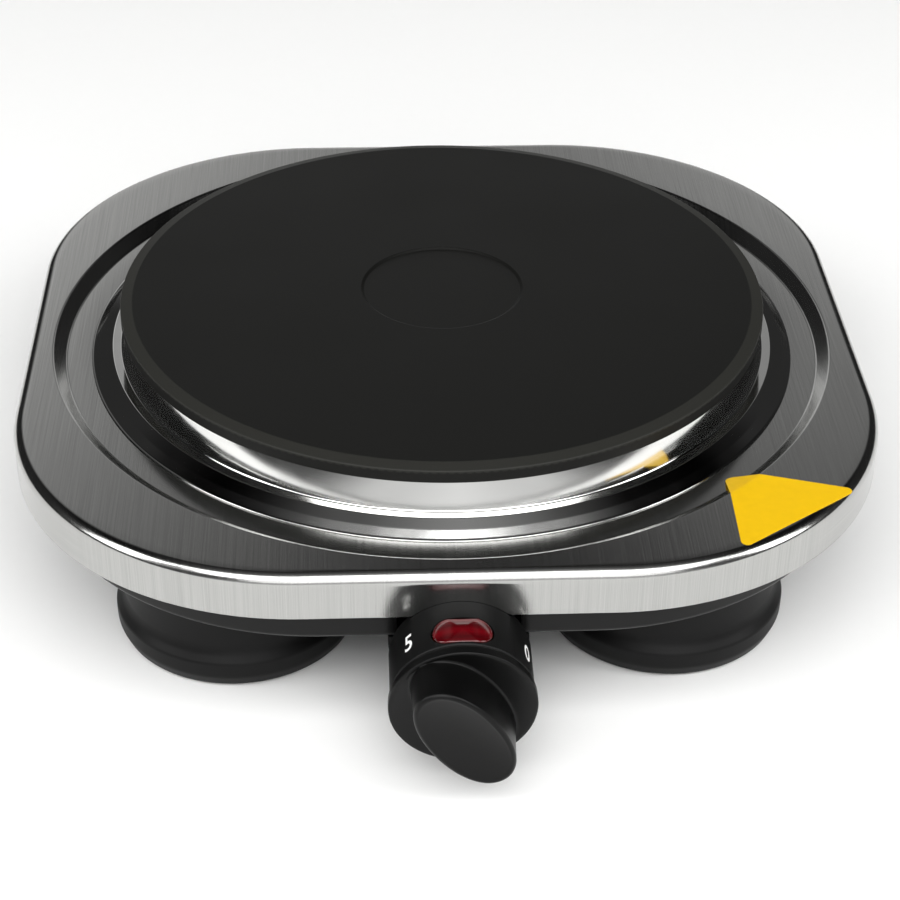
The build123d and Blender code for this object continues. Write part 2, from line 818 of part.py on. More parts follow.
with BuildPart() as earth_screw:
    with BuildSketch(level(pan_bottom - 1)):
        with Locations(earth_spot):
            Circle(2)
    extrude(amount=sheet + 2.6)
    with BuildSketch(level(pan_floor + 1.6)):
        with Locations(earth_spot):
            Circle(3.8)
    extrude(amount=2.2)
save(earth_screw, "earth_screw")

fuse_x = -30.0
fuse_z = 33.0
fuse_front = -72.0
fuse_rear = -48.0
with BuildPart() as thermal_fuse:
    with BuildSketch(Plane(origin=(fuse_x, burner_y + fuse_rear, fuse_z), z_dir=(0, -1, 0))):
        Circle(2.5)
    extrude(amount=fuse_rear - fuse_front)
    fillet(thermal_fuse.edges().filter_by(GeomType.CIRCLE), 0.8)
save(thermal_fuse, "thermal_fuse")

with BuildPart() as fuse_clip:
    with BuildSketch(Plane(origin=(fuse_x, burner_y - 57, fuse_z), x_dir=(1, 0, 0), z_dir=(0, -1, 0))):
        Circle(3.5)
        Rectangle(3, fuse_z - pan_floor, align=(Align.CENTER, Align.MAX))
        Circle(2.5 + running_clearance, mode=Mode.SUBTRACT)
    extrude(amount=6)
save(fuse_clip, "fuse_clip")


# ---- Internal wiring: straight runs joined by arcs ----
def wire_points(*points):
    """Turn plan positions measured from the hot plate's axis into world points."""
    return [(x, y + burner_y, z) for x, y, z in points]


wire_radius = 1.1
lamp_wire_radius = 0.6
block_face = block_y - block_depth / 2
tab_end = block_half_width + tab_length + 0.1

with BuildPart() as live_wire:
    with BuildLine() as live_route:
        FilletPolyline(
            *wire_points(
                (block_x + pole_pitch, block_face, wire_height),
                (block_x + pole_pitch, 50, wire_height),
                (32, -60, wire_height),
                (27, -95, 33),
                (tab_end, -95, 33),
            ),
            radius=6,
        )
    with BuildSketch(Plane(origin=live_route.line @ 0, z_dir=live_route.line % 0)):
        Circle(wire_radius)
    sweep()
save(live_wire, "live_wire")

with BuildPart() as neutral_wire:
    with BuildLine() as neutral_route:
        FilletPolyline(
            *wire_points(
                (block_x, block_face, wire_height),
                (block_x, 40, wire_height),
                (18, -8, 36),
                (18, -28, 36),
                (18, -28, bush_bottom),
            ),
            radius=6,
        )
    with BuildSketch(Plane(origin=neutral_route.line @ 0, z_dir=neutral_route.line % 0)):
        Circle(wire_radius)
    sweep()
save(neutral_wire, "neutral_wire")

with BuildPart() as thermostat_wire:
    with BuildLine() as thermostat_route:
        FilletPolyline(
            *wire_points(
                (-tab_end, -95, 33),
                (-27, -95, 33),
                (fuse_x, -84, fuse_z),
                (fuse_x, fuse_front, fuse_z),
            ),
            radius=4,
        )
    with BuildSketch(Plane(origin=thermostat_route.line @ 0, z_dir=thermostat_route.line % 0)):
        Circle(wire_radius)
    sweep()
save(thermostat_wire, "thermostat_wire")

with BuildPart() as heater_wire:
    with BuildLine() as heater_route:
        FilletPolyline(
            *wire_points(
                (fuse_x, fuse_rear, fuse_z),
                (fuse_x, -36, fuse_z),
                (-18, -28, 34),
                (-18, -28, bush_bottom),
            ),
            radius=4,
        )
    with BuildSketch(Plane(origin=heater_route.line @ 0, z_dir=heater_route.line % 0)):
        Circle(wire_radius)
    sweep()
save(heater_wire, "heater_wire")

# The earth wire ends in a ring terminal under the earth screw
with BuildPart() as earth_wire:
    with BuildLine() as earth_route:
        FilletPolyline(
            *wire_points(
                (block_x - pole_pitch, block_face - 0.2, wire_height),
                (block_x - pole_pitch, 64, 33),
                (24, 56, 29.3),
                (18, 56, 29.1),
            ),
            radius=5,
        )
    with BuildSketch(Plane(origin=earth_route.line @ 0, z_dir=earth_route.line % 0)):
        Circle(wire_radius)
    sweep()
    with BuildSketch(level(pan_floor + 0.2)):
        with Locations(earth_spot):
            Circle(4.5)
            Rectangle(9, 3.2, align=(Align.MIN, Align.CENTER))
            Circle(2 + screw_clearance, mode=Mode.SUBTRACT)
    extrude(amount=1.3)
save(earth_wire, "earth_wire")

lamp_end = bezel_centre - knob_out * 14.3 + knob_up * lamp_lift
with BuildPart() as lamp_wires:
    for side in (-1, 1):
        with BuildLine() as lamp_route:
            FilletPolyline(
                (side * 1.4, lamp_end.Y, lamp_end.Z),
                *wire_points(
                    (side * 1.4, -118.0, 37.0),
                    (side * 11.3, -114.5, 35),
                    (side * 12.8, -106, 33.4),
                    (side * 12.8, -98.1, 33),
                ),
                radius=1.5,
            )
        with BuildSketch(Plane(origin=lamp_route.line @ 0, z_dir=lamp_route.line % 0)):
            Circle(lamp_wire_radius)
        sweep()
save(lamp_wires, "lamp_wires")
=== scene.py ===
"""Single hot plate burner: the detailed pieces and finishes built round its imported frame.

Every piece is lofted, turned or cut in the frame's own place, in metres, with +Z up and the
control knob towards -Y.
"""

import json
import math

import bmesh
import bpy
from bpy.props import FloatProperty, FloatVectorProperty, IntProperty, PointerProperty
from mathutils import Matrix, Vector


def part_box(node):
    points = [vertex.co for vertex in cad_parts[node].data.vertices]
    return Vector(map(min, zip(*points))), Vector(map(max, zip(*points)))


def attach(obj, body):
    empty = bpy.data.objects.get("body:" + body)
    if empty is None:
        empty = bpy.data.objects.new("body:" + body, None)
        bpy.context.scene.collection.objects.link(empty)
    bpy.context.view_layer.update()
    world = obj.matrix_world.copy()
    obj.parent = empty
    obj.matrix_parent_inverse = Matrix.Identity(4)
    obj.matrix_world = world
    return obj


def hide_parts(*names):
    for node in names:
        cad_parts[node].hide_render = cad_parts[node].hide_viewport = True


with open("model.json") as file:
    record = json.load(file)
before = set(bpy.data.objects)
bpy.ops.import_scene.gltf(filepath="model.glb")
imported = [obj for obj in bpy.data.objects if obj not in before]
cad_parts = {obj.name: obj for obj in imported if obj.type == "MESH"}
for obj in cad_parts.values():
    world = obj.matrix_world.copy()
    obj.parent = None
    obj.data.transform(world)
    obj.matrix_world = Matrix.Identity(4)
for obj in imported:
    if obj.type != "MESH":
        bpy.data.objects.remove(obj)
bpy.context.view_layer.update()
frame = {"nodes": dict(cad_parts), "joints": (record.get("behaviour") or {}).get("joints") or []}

bl_info = {
    "name": "Hot Plate Burner",
    "version": (1, 0, 0),
    "blender": (4, 5, 0),
    "location": "View3D > Sidebar > Hot Plate",
    "description": "Builds a free-standing hot plate burner piece by piece round its frame",
    "category": "Object",
}

MM = 0.001
NODES = frame["nodes"]


# ---------------------------------------------------------------------------------------------
# Places and sizes read from the frame
# ---------------------------------------------------------------------------------------------

def span(node):
    """Lowest corner, highest corner and centre of a frame node."""
    low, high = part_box(node)
    return low, high, (low + high) / 2


PLATE_LOW, PLATE_HIGH, PLATE_MID = span("hot_plate")
RING_LOW, RING_HIGH, _ = span("trim_ring")
SHELL_LOW, SHELL_HIGH, _ = span("top_shell")
FOOT_LOW, FOOT_HIGH, _ = span("foot_front_left")
PAN_FRONT = span("base_pan")[0].y

BURNER = Vector((0.0, PLATE_MID.y, 0.0))
PLATE_RADIUS = (PLATE_HIGH.x - PLATE_LOW.x) / 2
RING_RADIUS = (RING_HIGH.x - RING_LOW.x) / 2
SHELL_HALF = (SHELL_HIGH.x - SHELL_LOW.x) / 2
FOOT_RADIUS = (FOOT_HIGH.x - FOOT_LOW.x) / 2
FEET = ("foot_front_left", "foot_front_right", "foot_rear_left", "foot_rear_right")

# The knob turns about the joint's axis, which points into the body and dips to the front
KNOB_JOINT = next(joint for joint in frame["joints"] if joint["name"] == "knob_turn")
KNOB_SEAT = Vector(KNOB_JOINT["pos_m"])
KNOB_OUT = -Vector(KNOB_JOINT["axis"]).normalized()
KNOB_SIDE = Vector((1.0, 0.0, 0.0))
KNOB_UP = KNOB_OUT.cross(KNOB_SIDE)
KNOB_FRAME = Matrix((
    (KNOB_SIDE.x, KNOB_UP.x, KNOB_OUT.x, KNOB_SEAT.x),
    (KNOB_SIDE.y, KNOB_UP.y, KNOB_OUT.y, KNOB_SEAT.y),
    (KNOB_SIDE.z, KNOB_UP.z, KNOB_OUT.z, KNOB_SEAT.z),
    (0.0, 0.0, 0.0, 1.0),
))


# ---------------------------------------------------------------------------------------------
# Colours and settings
# ---------------------------------------------------------------------------------------------

def linear(code):
    """Turn an sRGB hex colour into the linear values that shaders take."""
    channels = [int(code[i:i + 2], 16) / 255 for i in (1, 3, 5)]
    return tuple(
        c / 12.92 if c <= 0.04045 else ((c + 0.055) / 1.055) ** 2.4 for c in channels
    )


def colour(name, description, code):
    """A colour setting whose default is an sRGB hex colour."""
    return FloatVectorProperty(
        name=name, description=description, subtype="COLOR", size=3,
        min=0.0, max=1.0, default=linear(code),
    )


def length(name, description, millimetres):
    """A length setting whose default is given in millimetres."""
    return FloatProperty(
        name=name, description=description, unit="LENGTH", min=0.0, default=millimetres * MM,
        precision=5,
    )


class HotPlateSizes(bpy.types.PropertyGroup):
    """Sizes of the visible pieces that the frame's boxes don't give."""

    segments: IntProperty(
        name="Segments", description="Straight steps round a full circle", default=256, min=32
    )
    rim_height: length("Rim height", "Height of the cooking disc's visible wall", 4.6)
    bevel_width: length("Bevel width", "Width of the bevel round the cooking face", 3.4)
    bevel_drop: length("Bevel drop", "How far the bevel falls", 0.8)
    dimple_radius: length("Dimple radius", "Radius of the shallow centre recess", 23.0)
    dimple_depth: length("Dimple depth", "Depth of the shallow centre recess", 0.5)
    sheet: length("Sheet", "Thickness of the pressed sheet", 0.8)
    body_corner: length("Body corner", "Corner radius of the shell seen from above", 80.0)
    edge_round: length("Edge round", "Radius of the shell's top edge", 3.0)
    recess_radius: length("Recess radius", "Radius of the round recess's flat floor", 109.0)
    recess_slope: length("Recess slope", "Width of the slope round the recess", 3.4)
    recess_depth: length("Recess depth", "Depth of the round recess", 3.0)
    opening: length("Opening", "Radius of the shell's opening under the disc", 94.0)
    knob_radius: length("Knob radius", "Outer radius of the knob's disc", 18.75)
    grip_length: length("Grip length", "Length of the knob's oval grip", 35.2)
    grip_width: length("Grip width", "Width of the knob's oval grip", 18.8)
    bezel_radius: length("Bezel radius", "Outer radius of the control bezel", 18.2)
    digit_height: length("Digit height", "Height of the dial numbers", 5.4)


class HotPlateColours(bpy.types.PropertyGroup):
    """Base colours of the finishes."""

    coating: colour("Coating", "Baked coating of the cooking disc", "#0a0a08")
    polished: colour("Polished steel", "Polished stainless spill ring", "#e4e4e2")
    brushed: colour("Brushed steel", "Brushed stainless shell", "#bcbcba")
    enamel: colour("Pan enamel", "Black enamel of the base pan", "#090909")
    moulding: colour("Moulding", "Black moulded plastic", "#060606")
    rubber: colour("Rubber", "Rubber foot pads", "#101010")
    lens: colour("Lens", "Clear red lens", "#5e030c")
    film: colour("Sticker film", "Blank sticker", "#dcb006")
    ink: colour("Dial ink", "Pad-printed dial numbers", "#f4f4f2")
    floor: colour("Floor", "Plain studio floor", "#f6f6f5")


def sizes():
    """The size settings of this scene."""
    return bpy.context.scene.hot_plate_sizes


def colours():
    """The colour settings of this scene."""
    return bpy.context.scene.hot_plate_colours


# ---------------------------------------------------------------------------------------------
# Outlines and places
# ---------------------------------------------------------------------------------------------

ARC_STEPS = 5
TIP = 1e-7


def rounded(corners, closed=True):
    """Points of a flat outline whose corners (x, y, radius) are rounded by arcs."""
    points = []
    count = len(corners)
    for i, (x, y, radius) in enumerate(corners):
        here = Vector((x, y))
        at_end = not closed and i in (0, count - 1)
        if radius <= 0 or at_end:
            points.append(here)
            continue
        back = Vector(corners[i - 1][:2]) - here
        ahead = Vector(corners[(i + 1) % count][:2]) - here
        turn = back.angle(ahead)
        reach = radius / math.tan(turn / 2)
        limit = 0.49 * min(back.length, ahead.length)
        if reach > limit:
            radius *= limit / reach
            reach = limit
        middle = here + (back.normalized() + ahead.normalized()).normalized() * (
            radius / math.sin(turn / 2)
        )
        start = here + back.normalized() * reach - middle
        end = here + ahead.normalized() * reach - middle
        sweep = start.angle_signed(end)
        for step in range(ARC_STEPS + 1):
            angle = -sweep * step / ARC_STEPS
            points.append(middle + Matrix.Rotation(angle, 2) @ start)
    return points


def circle_loop(radius, height, count, centre=BURNER):
    """A level circle of points."""
    return [
        centre + Vector((radius * math.cos(a), radius * math.sin(a), height))
        for a in (2 * math.pi * i / count for i in range(count))
    ]


def square_radius(angle, half, corner):
    """Distance from the centre to a rounded square's outline in one direction."""
    across, along = abs(math.cos(angle)), abs(math.sin(angle))
    core = half - corner
    if along * half <= core * across:
        return half / across
    if across * half <= core * along:
        return half / along
    reach = core * (across + along)
    return reach + math.sqrt(max(reach * reach - 2 * core * core + corner * corner, 0.0))


def square_loop(half, corner, height, count, centre=BURNER):
    """A level rounded-square loop whose points lie at the circle's angles."""
    loop = []
    for i in range(count):
        angle = 2 * math.pi * i / count
        reach = square_radius(angle, half, corner)
        loop.append(centre + Vector((reach * math.cos(angle), reach * math.sin(angle), height)))
    return loop


def mix_loops(first, second, share):
    """A loop part of the way from one loop to another."""
    return [a.lerp(b, share) for a, b in zip(first, second)]


def oval(long, wide, angle, count, fullness=2.12):
    """A slightly squared oval about the origin, its long axis turned by an angle."""
    points = []
    for i in range(count):
        turn = 2 * math.pi * i / count
        across, along = math.cos(turn), math.sin(turn)
        x = math.copysign(abs(across) ** (2 / fullness), across) * long / 2
        y = math.copysign(abs(along) ** (2 / fullness), along) * wide / 2
        points.append(Matrix.Rotation(angle, 2) @ Vector((x, y)))
    return points


def slot_outline(long, wide, count):
    """A slot with round ends about the origin."""
    radius = wide / 2
    straight = long / 2 - radius
    points = []
    for i in range(count):
        turn = 2 * math.pi * (i + 0.5) / count
        x, y = math.cos(turn), math.sin(turn)
        points.append(Vector((radius * x + math.copysign(straight, x), radius * y)))
    return points


def recess_section():
    """The shell's recess seen in section, from its opening out to the flat top."""
    size = sizes()
    top, floor = SHELL_HIGH.z, SHELL_HIGH.z - size.recess_depth
    fold = 1.3 * MM
    inner, outer = size.recess_radius, size.recess_radius + size.recess_slope
    return rounded([
        (size.opening, floor, 0),
        (inner, floor, fold),
        (outer, top, fold),
        (outer + 3 * MM, top, 0),
    ], closed=False)


def foot_place(node):
    """The upright axis of one foot."""
    middle = span(node)[2]
    return Matrix.Translation((middle.x, middle.y, 0.0))


def knob_point(side, up, out):
    """World place of a point given across, up and out along the knob's axis."""
    return KNOB_FRAME @ Vector((side, up, out))


def on_bezel(across, out, radius):
    """Place on the bezel's round surface: across measured along the curve from its top."""
    angle = across / sizes().bezel_radius
    return knob_point(radius * math.sin(angle), radius * math.cos(angle), out)


# ---------------------------------------------------------------------------------------------
# Mesh building
# ---------------------------------------------------------------------------------------------

def body_to_object(name, body, smooth=True):
    """Turn a bmesh into a linked object with smooth, area-weighted shading."""
    mesh = bpy.data.meshes.new(name)
    body.to_mesh(mesh)
    body.free()
    piece = bpy.data.objects.new(name, mesh)
    bpy.context.scene.collection.objects.link(piece)
    if smooth:
        mesh.polygons.foreach_set("use_smooth", [True] * len(mesh.polygons))
        weighted = piece.modifiers.new("Flat faces stay flat", "WEIGHTED_NORMAL")
        weighted.keep_sharp = True
    return piece


def skin(name, loops, join_ends=False):
    """Skin a stack of equal closed loops with quads.  A loop of one point makes a closed tip."""
    body = bmesh.new()
    rows = [[body.verts.new(point) for point in loop] for loop in loops]
    if join_ends:
        rows.append(rows[0])
    for lower, upper in zip(rows, rows[1:]):
        count = max(len(lower), len(upper))
        for i in range(count):
            j = (i + 1) % count
            corners = [lower[i % len(lower)], lower[j % len(lower)]]
            corners += [upper[j % len(upper)], upper[i % len(upper)]]
            corners = list(dict.fromkeys(corners))
            if len(corners) > 2:
                body.faces.new(corners)
    bmesh.ops.recalc_face_normals(body, faces=body.faces)
    return body_to_object(name, body)


def turned(name, outline, count, place=None):
    """Turn an outline of (radius, height) points about an upright axis, or a placed one."""
    place = place or Matrix.Translation(BURNER)
    loops = []
    for radius, height in outline:
        if radius < TIP:
            loops.append([place @ Vector((0, 0, height))])
        else:
            loops.append([place @ p for p in circle_loop(radius, height, count, Vector())])
    open_tips = len(loops[0]) > 1 and len(loops[-1]) > 1
    return skin(name, loops, join_ends=open_tips)


def block(name, low, high):
    """An upright block between two corners, used as a cutter."""
    plan = ((low.x, low.y), (high.x, low.y), (high.x, high.y), (low.x, high.y))
    body = bmesh.new()
    rows = [[body.verts.new((x, y, z)) for x, y in plan] for z in (low.z, high.z)]
    for i in range(4):
        j = (i + 1) % 4
        body.faces.new((rows[0][i], rows[0][j], rows[1][j], rows[1][i]))
    body.faces.new(reversed(rows[0]))
    body.faces.new(rows[1])
    bmesh.ops.recalc_face_normals(body, faces=body.faces)
    return body_to_object(name, body, smooth=False)


def cut(piece, cutter):
    """Cut one solid out of another for good and drop the cutter."""
    knife = piece.modifiers.new("Cut", "BOOLEAN")
    knife.operation = "DIFFERENCE"
    knife.solver = "EXACT"
    knife.object = cutter
    bpy.context.view_layer.update()
    seen = piece.evaluated_get(bpy.context.evaluated_depsgraph_get())
    shaped = bpy.data.meshes.new_from_object(seen)
    piece.modifiers.clear()
    old = piece.data
    piece.data = shaped
    bpy.data.meshes.remove(old)
    bpy.data.objects.remove(cutter)


def fit_piece(piece, body, slot, material, *nodes):
    """Give a piece its body and material, hide the frame nodes it stands for; slot is not used."""
    piece.data.materials.append(material)
    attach(piece, body)
    if nodes:
        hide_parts(*nodes)
    return piece


def dress(node, material):
    """Give a frame node its material."""
    piece = NODES[node]
    piece.data.materials.clear()
    piece.data.materials.append(material)


# ---------------------------------------------------------------------------------------------
# Materials
# ---------------------------------------------------------------------------------------------

# Sockets of a mix node that mixes colours
MIX_BY, MIX_A, MIX_B, MIX_OUT = 0, 6, 7, 2

# A wave texture of scale 1 repeats after this length
WAVE_LENGTH = 2 * math.pi / 20


def add_node(tree, kind, inputs=None, feeds=None, **settings):
    """Add a shader node: set its properties, set or link its inputs, and link its outputs on."""
    made = tree.nodes.new(kind)
    for name, value in settings.items():
        setattr(made, name, value)
    for socket, value in (inputs or {}).items():
        if isinstance(value, bpy.types.NodeSocket):
            tree.links.new(value, made.inputs[socket])
        else:
            made.inputs[socket].default_value = value
    for socket, target in (feeds or {}).items():
        tree.links.new(made.outputs[socket], target)
    return made


def shade(base, factor=1.0):
    """A colour made darker or lighter by a factor, as four channels."""
    return (*(min(c * factor, 1.0) for c in base), 1.0)


def per_mm(size):
    """Texture scale for a feature of this size in millimetres."""
    return 1.0 / (size * MM)


def new_material(name, base, metallic, roughness, constants=None):
    """A material with its shader, and the object coordinates that its patterns use."""
    material = bpy.data.materials.get(name)
    if material:
        return material, None, None, None
    material = bpy.data.materials.new(name)
    material.use_nodes = True
    tree = material.node_tree
    shader = tree.nodes["Principled BSDF"]
    values = {"Base Color": shade(base), "Metallic": metallic, "Roughness": roughness}
    for socket, value in (values | (constants or {})).items():
        shader.inputs[socket].default_value = value
    place = add_node(tree, "ShaderNodeTexCoord")
    return material, tree, shader, place.outputs["Object"]


def grained(name, base, metallic, roughness, grain_mm, detail, darker, lighter, constants=None):
    """A material whose colour varies between two factors with a grain of a given size."""
    material, tree, shader, place = new_material(name, base, metallic, roughness, constants)
    if tree is None:
        return material, None, None, None, None
    grain = add_node(
        tree, "ShaderNodeTexNoise", {"Vector": place, "Scale": per_mm(grain_mm), "Detail": detail}
    )
    add_node(
        tree, "ShaderNodeMix",
        {MIX_BY: grain.outputs["Fac"], MIX_A: shade(base, darker), MIX_B: shade(base, lighter)},
        {MIX_OUT: shader.inputs["Base Color"]}, data_type="RGBA",
    )
    return material, tree, shader, place, grain.outputs["Fac"]


def coated_cast_iron():
    """Cast iron with a baked black heat-resistant coating, sprayed over a turned face."""
    base = colours().coating
    material, tree, shader, place = new_material(
        "Cast iron, baked black coating", base, 0.0, 0.52, {"Specular IOR Level": 0.22}
    )
    if tree is None:
        return material
    # Sprayed coating: a fine pebble about half a millimetre across
    pebble = add_node(
        tree, "ShaderNodeTexNoise", {"Vector": place, "Scale": per_mm(0.5), "Detail": 3.0}
    )
    add_node(
        tree, "ShaderNodeBump",
        {"Strength": 0.22, "Distance": 0.05 * MM, "Height": pebble.outputs["Fac"]},
        {"Normal": shader.inputs["Normal"]},
    )
    # Uneven curing shows as soft patches a few centimetres wide
    patches = add_node(
        tree, "ShaderNodeTexNoise", {"Vector": place, "Scale": per_mm(45), "Detail": 2.0}
    )
    add_node(
        tree, "ShaderNodeMapRange",
        {"Value": patches.outputs["Fac"], "To Min": 0.46, "To Max": 0.58},
        {"Result": shader.inputs["Roughness"]},
    )
    coat = add_node(
        tree, "ShaderNodeMix",
        {MIX_BY: patches.outputs["Fac"], MIX_A: shade(base, 0.88), MIX_B: shade(base, 1.14)},
        data_type="RGBA",
    )
    # The turned bevel is painted lighter, a painted highlight that stands for the bright room it
    # reflects.  Distance from the middle of the face tells the bevel from the face inside it and
    # the wall below it.
    centre = add_node(
        tree, "ShaderNodeVectorMath", {0: place, 1: (0.0, BURNER.y, PLATE_HIGH.z)},
        operation="DISTANCE",
    )
    past_face = add_node(
        tree, "ShaderNodeMapRange",
        {"Value": centre.outputs["Value"], "From Min": PLATE_RADIUS - 3.6 * MM,
         "From Max": PLATE_RADIUS - 3.2 * MM},
    )
    above_wall = add_node(
        tree, "ShaderNodeMapRange",
        {"Value": centre.outputs["Value"], "From Min": PLATE_RADIUS + 0.003 * MM,
         "From Max": PLATE_RADIUS + 0.01 * MM, "To Min": 1.0, "To Max": 0.0},
    )
    bevel = add_node(
        tree, "ShaderNodeMath",
        {0: past_face.outputs["Result"], 1: above_wall.outputs["Result"]}, operation="MULTIPLY",
    )
    # Painted highlight: the bevel's colour is mixed towards a lighter grey
    add_node(
        tree, "ShaderNodeMix",
        {MIX_BY: bevel.outputs[0], MIX_A: coat.outputs[MIX_OUT],
         MIX_B: shade(linear("#242421"))},
        {MIX_OUT: shader.inputs["Base Color"]}, data_type="RGBA",
    )
    return material


def polished_stainless():
    """Stainless steel, drawn and mirror polished: sharp reflections with faint wipe marks."""
    material, tree, shader, place = new_material(
        "Stainless steel, mirror polished", colours().polished, 1.0, 0.07
    )
    if tree is None:
        return material
    marks = add_node(
        tree, "ShaderNodeTexNoise", {"Vector": place, "Scale": per_mm(9), "Detail": 5.0}
    )
    add_node(
        tree, "ShaderNodeMapRange",
        {"Value": marks.outputs["Fac"], "To Min": 0.04, "To Max": 0.13},
        {"Result": shader.inputs["Roughness"]},
    )
    # Slight waviness left by pressing, about 14 mm from crest to crest
    waves = add_node(
        tree, "ShaderNodeTexNoise", {"Vector": place, "Scale": per_mm(14), "Detail": 1.0}
    )
    add_node(
        tree, "ShaderNodeBump",
        {"Strength": 0.35, "Distance": 0.12 * MM, "Height": waves.outputs["Fac"]},
        {"Normal": shader.inputs["Normal"]},
    )
    return material


def brushed_stainless():
    """Stainless sheet brushed in one direction before pressing, so the grain runs front to back
    over the top, down the front and rear skirts, and level along the side skirts."""
    base = colours().brushed
    material, tree, shader, place = new_material("Stainless steel, brushed", base, 1.0, 0.3)
    if tree is None:
        return material
    # Brush lines about a third of a millimetre wide that run on for some centimetres
    across, along = per_mm(0.32), per_mm(55)
    patterns = []
    for scale in ((across, along, along), (along, along, across)):
        stretch = add_node(tree, "ShaderNodeMapping", {"Vector": place, "Scale": scale})
        patterns.append(add_node(
            tree, "ShaderNodeTexNoise",
            {"Vector": stretch.outputs["Vector"], "Scale": 1.0, "Detail": 4.0, "Roughness": 0.7},
        ))
    # The second pattern takes over where the skirt faces sideways
    faces = add_node(tree, "ShaderNodeNewGeometry")
    facing = add_node(tree, "ShaderNodeSeparateXYZ", {"Vector": faces.outputs["Normal"]})
    sideways = add_node(
        tree, "ShaderNodeMath", {0: facing.outputs["X"]}, operation="ABSOLUTE"
    )
    blend = add_node(
        tree, "ShaderNodeMapRange",
        {"Value": sideways.outputs[0], "From Min": 0.6, "From Max": 0.8},
    )
    grain = add_node(
        tree, "ShaderNodeMix",
        {"Factor": blend.outputs["Result"], "A": patterns[0].outputs["Fac"],
         "B": patterns[1].outputs["Fac"]},
    )
    brush_lines = grain.outputs["Result"]
    add_node(
        tree, "ShaderNodeMix",
        {MIX_BY: brush_lines, MIX_A: shade(base, 0.62), MIX_B: shade(base, 1.2)},
        {MIX_OUT: shader.inputs["Base Color"]}, data_type="RGBA",
    )
    add_node(
        tree, "ShaderNodeMapRange", {"Value": brush_lines, "To Min": 0.11, "To Max": 0.22},
        {"Result": shader.inputs["Roughness"]},
    )
    add_node(
        tree, "ShaderNodeBump", {"Strength": 0.5, "Distance": 0.02 * MM, "Height": brush_lines},
        {"Normal": shader.inputs["Normal"]},
    )
    return material


def black_enamel():
    """Sheet steel with black enamel: a low gloss with a faint orange peel."""
    material, tree, shader, _, peel = grained(
        "Sheet steel, black enamel", colours().enamel, 0.0, 0.3, 1.8, 2.0, 0.9, 1.12,
        {"Specular IOR Level": 0.2, "Coat Weight": 0.06, "Coat Roughness": 0.15},
    )
    if tree is None:
        return material
    add_node(
        tree, "ShaderNodeBump", {"Strength": 0.2, "Distance": 0.08 * MM, "Height": peel},
        {"Normal": shader.inputs["Normal"]},
    )
    return material


def moulded_plastic(name, roughness):
    """Black plastic moulded in a spark-eroded tool: a fine satin grain, with soft flow marks."""
    material, tree, shader, place, flow = grained(
        name, colours().moulding, 0.0, roughness, 16, 3.0, 0.85, 1.2, {"Specular IOR Level": 0.2}
    )
    if tree is None:
        return material
    add_node(
        tree, "ShaderNodeMapRange",
        {"Value": flow, "To Min": roughness - 0.05, "To Max": roughness + 0.07},
        {"Result": shader.inputs["Roughness"]},
    )
    # The eroded grain is about 0.15 mm; it is drawn at 0.3 mm so that it shows
    grain = add_node(tree, "ShaderNodeTexVoronoi", {"Vector": place, "Scale": per_mm(0.3)})
    add_node(
        tree, "ShaderNodeBump",
        {"Strength": 0.18, "Distance": 0.03 * MM, "Height": grain.outputs["Distance"]},
        {"Normal": shader.inputs["Normal"]},
    )
    return material


def knob_plastic():
    """Phenolic knob: smoother than the housings, with a soft sheen."""
    return moulded_plastic("Phenolic, moulded", 0.36)


def housing_plastic():
    """Glass-filled nylon housing of the controls: satin."""
    return moulded_plastic("Nylon, moulded satin", 0.42)


def foot_plastic():
    """Feet of the same nylon, with a duller grain."""
    return moulded_plastic("Nylon, moulded dull", 0.48)


def pad_rubber():
    """Nitrile rubber, moulded: matte, slightly dusty."""
    return grained("Nitrile rubber, moulded", colours().rubber, 0.0, 0.85, 6, 5.0, 0.8, 1.8)[0]


def red_lens_plastic():
    """Polycarbonate lens, moulded clear red: deep colour under a hard gloss."""
    base = colours().lens
    material, tree, shader, place = new_material(
        "Polycarbonate, clear red", base, 0.0, 0.12,
        {"IOR": 1.58, "Transmission Weight": 0.35, "Coat Weight": 0.3, "Coat Roughness": 0.05},
    )
    if tree is None:
        return material
    # Moulded prisms behind the face, 4.3 mm apart, show as soft bands along the window
    bands = add_node(
        tree, "ShaderNodeTexWave", {"Vector": place, "Scale": WAVE_LENGTH * per_mm(4.34)},
        wave_type="BANDS", bands_direction="Y",
    )
    add_node(
        tree, "ShaderNodeMix",
        {MIX_BY: bands.outputs["Fac"], MIX_A: shade(base, 0.75), MIX_B: shade(base, 1.5)},
        {MIX_OUT: shader.inputs["Base Color"]}, data_type="RGBA",
    )
    return material


def sticker_film():
    """Vinyl film with a satin print: flat yellow with a very fine tooth."""
    return grained(
        "Vinyl film, yellow", colours().film, 0.0, 0.45, 2.5, 4.0, 0.93, 1.05,
        {"Specular IOR Level": 0.2},
    )[0]


def dial_ink():
    """Pad-printed white ink: matte, a little uneven."""
    return grained("Pad-printed ink, white", colours().ink, 0.0, 0.55, 0.6, 2.0, 0.9, 1.0)[0]


def studio_paper():
    """Matte studio paper: plain, with a fibre that hardly shows."""
    return grained("Studio paper, matte", colours().floor, 0.0, 0.9, 4, 2.0, 0.99, 1.0)[0]


def plain_finish(name, code, metallic, roughness, grain_mm):
    """A hidden piece's finish: colour and roughness vary a little with a grain of a given size."""
    material, tree, shader, _, grain = grained(
        name, linear(code), metallic, roughness, grain_mm, 4.0, 0.88, 1.12
    )
    if tree is None:
        return material
    add_node(
        tree, "ShaderNodeMapRange",
        {"Value": grain, "To Min": roughness * 0.85, "To Max": roughness * 1.15},
        {"Result": shader.inputs["Roughness"]},
    )
    return material


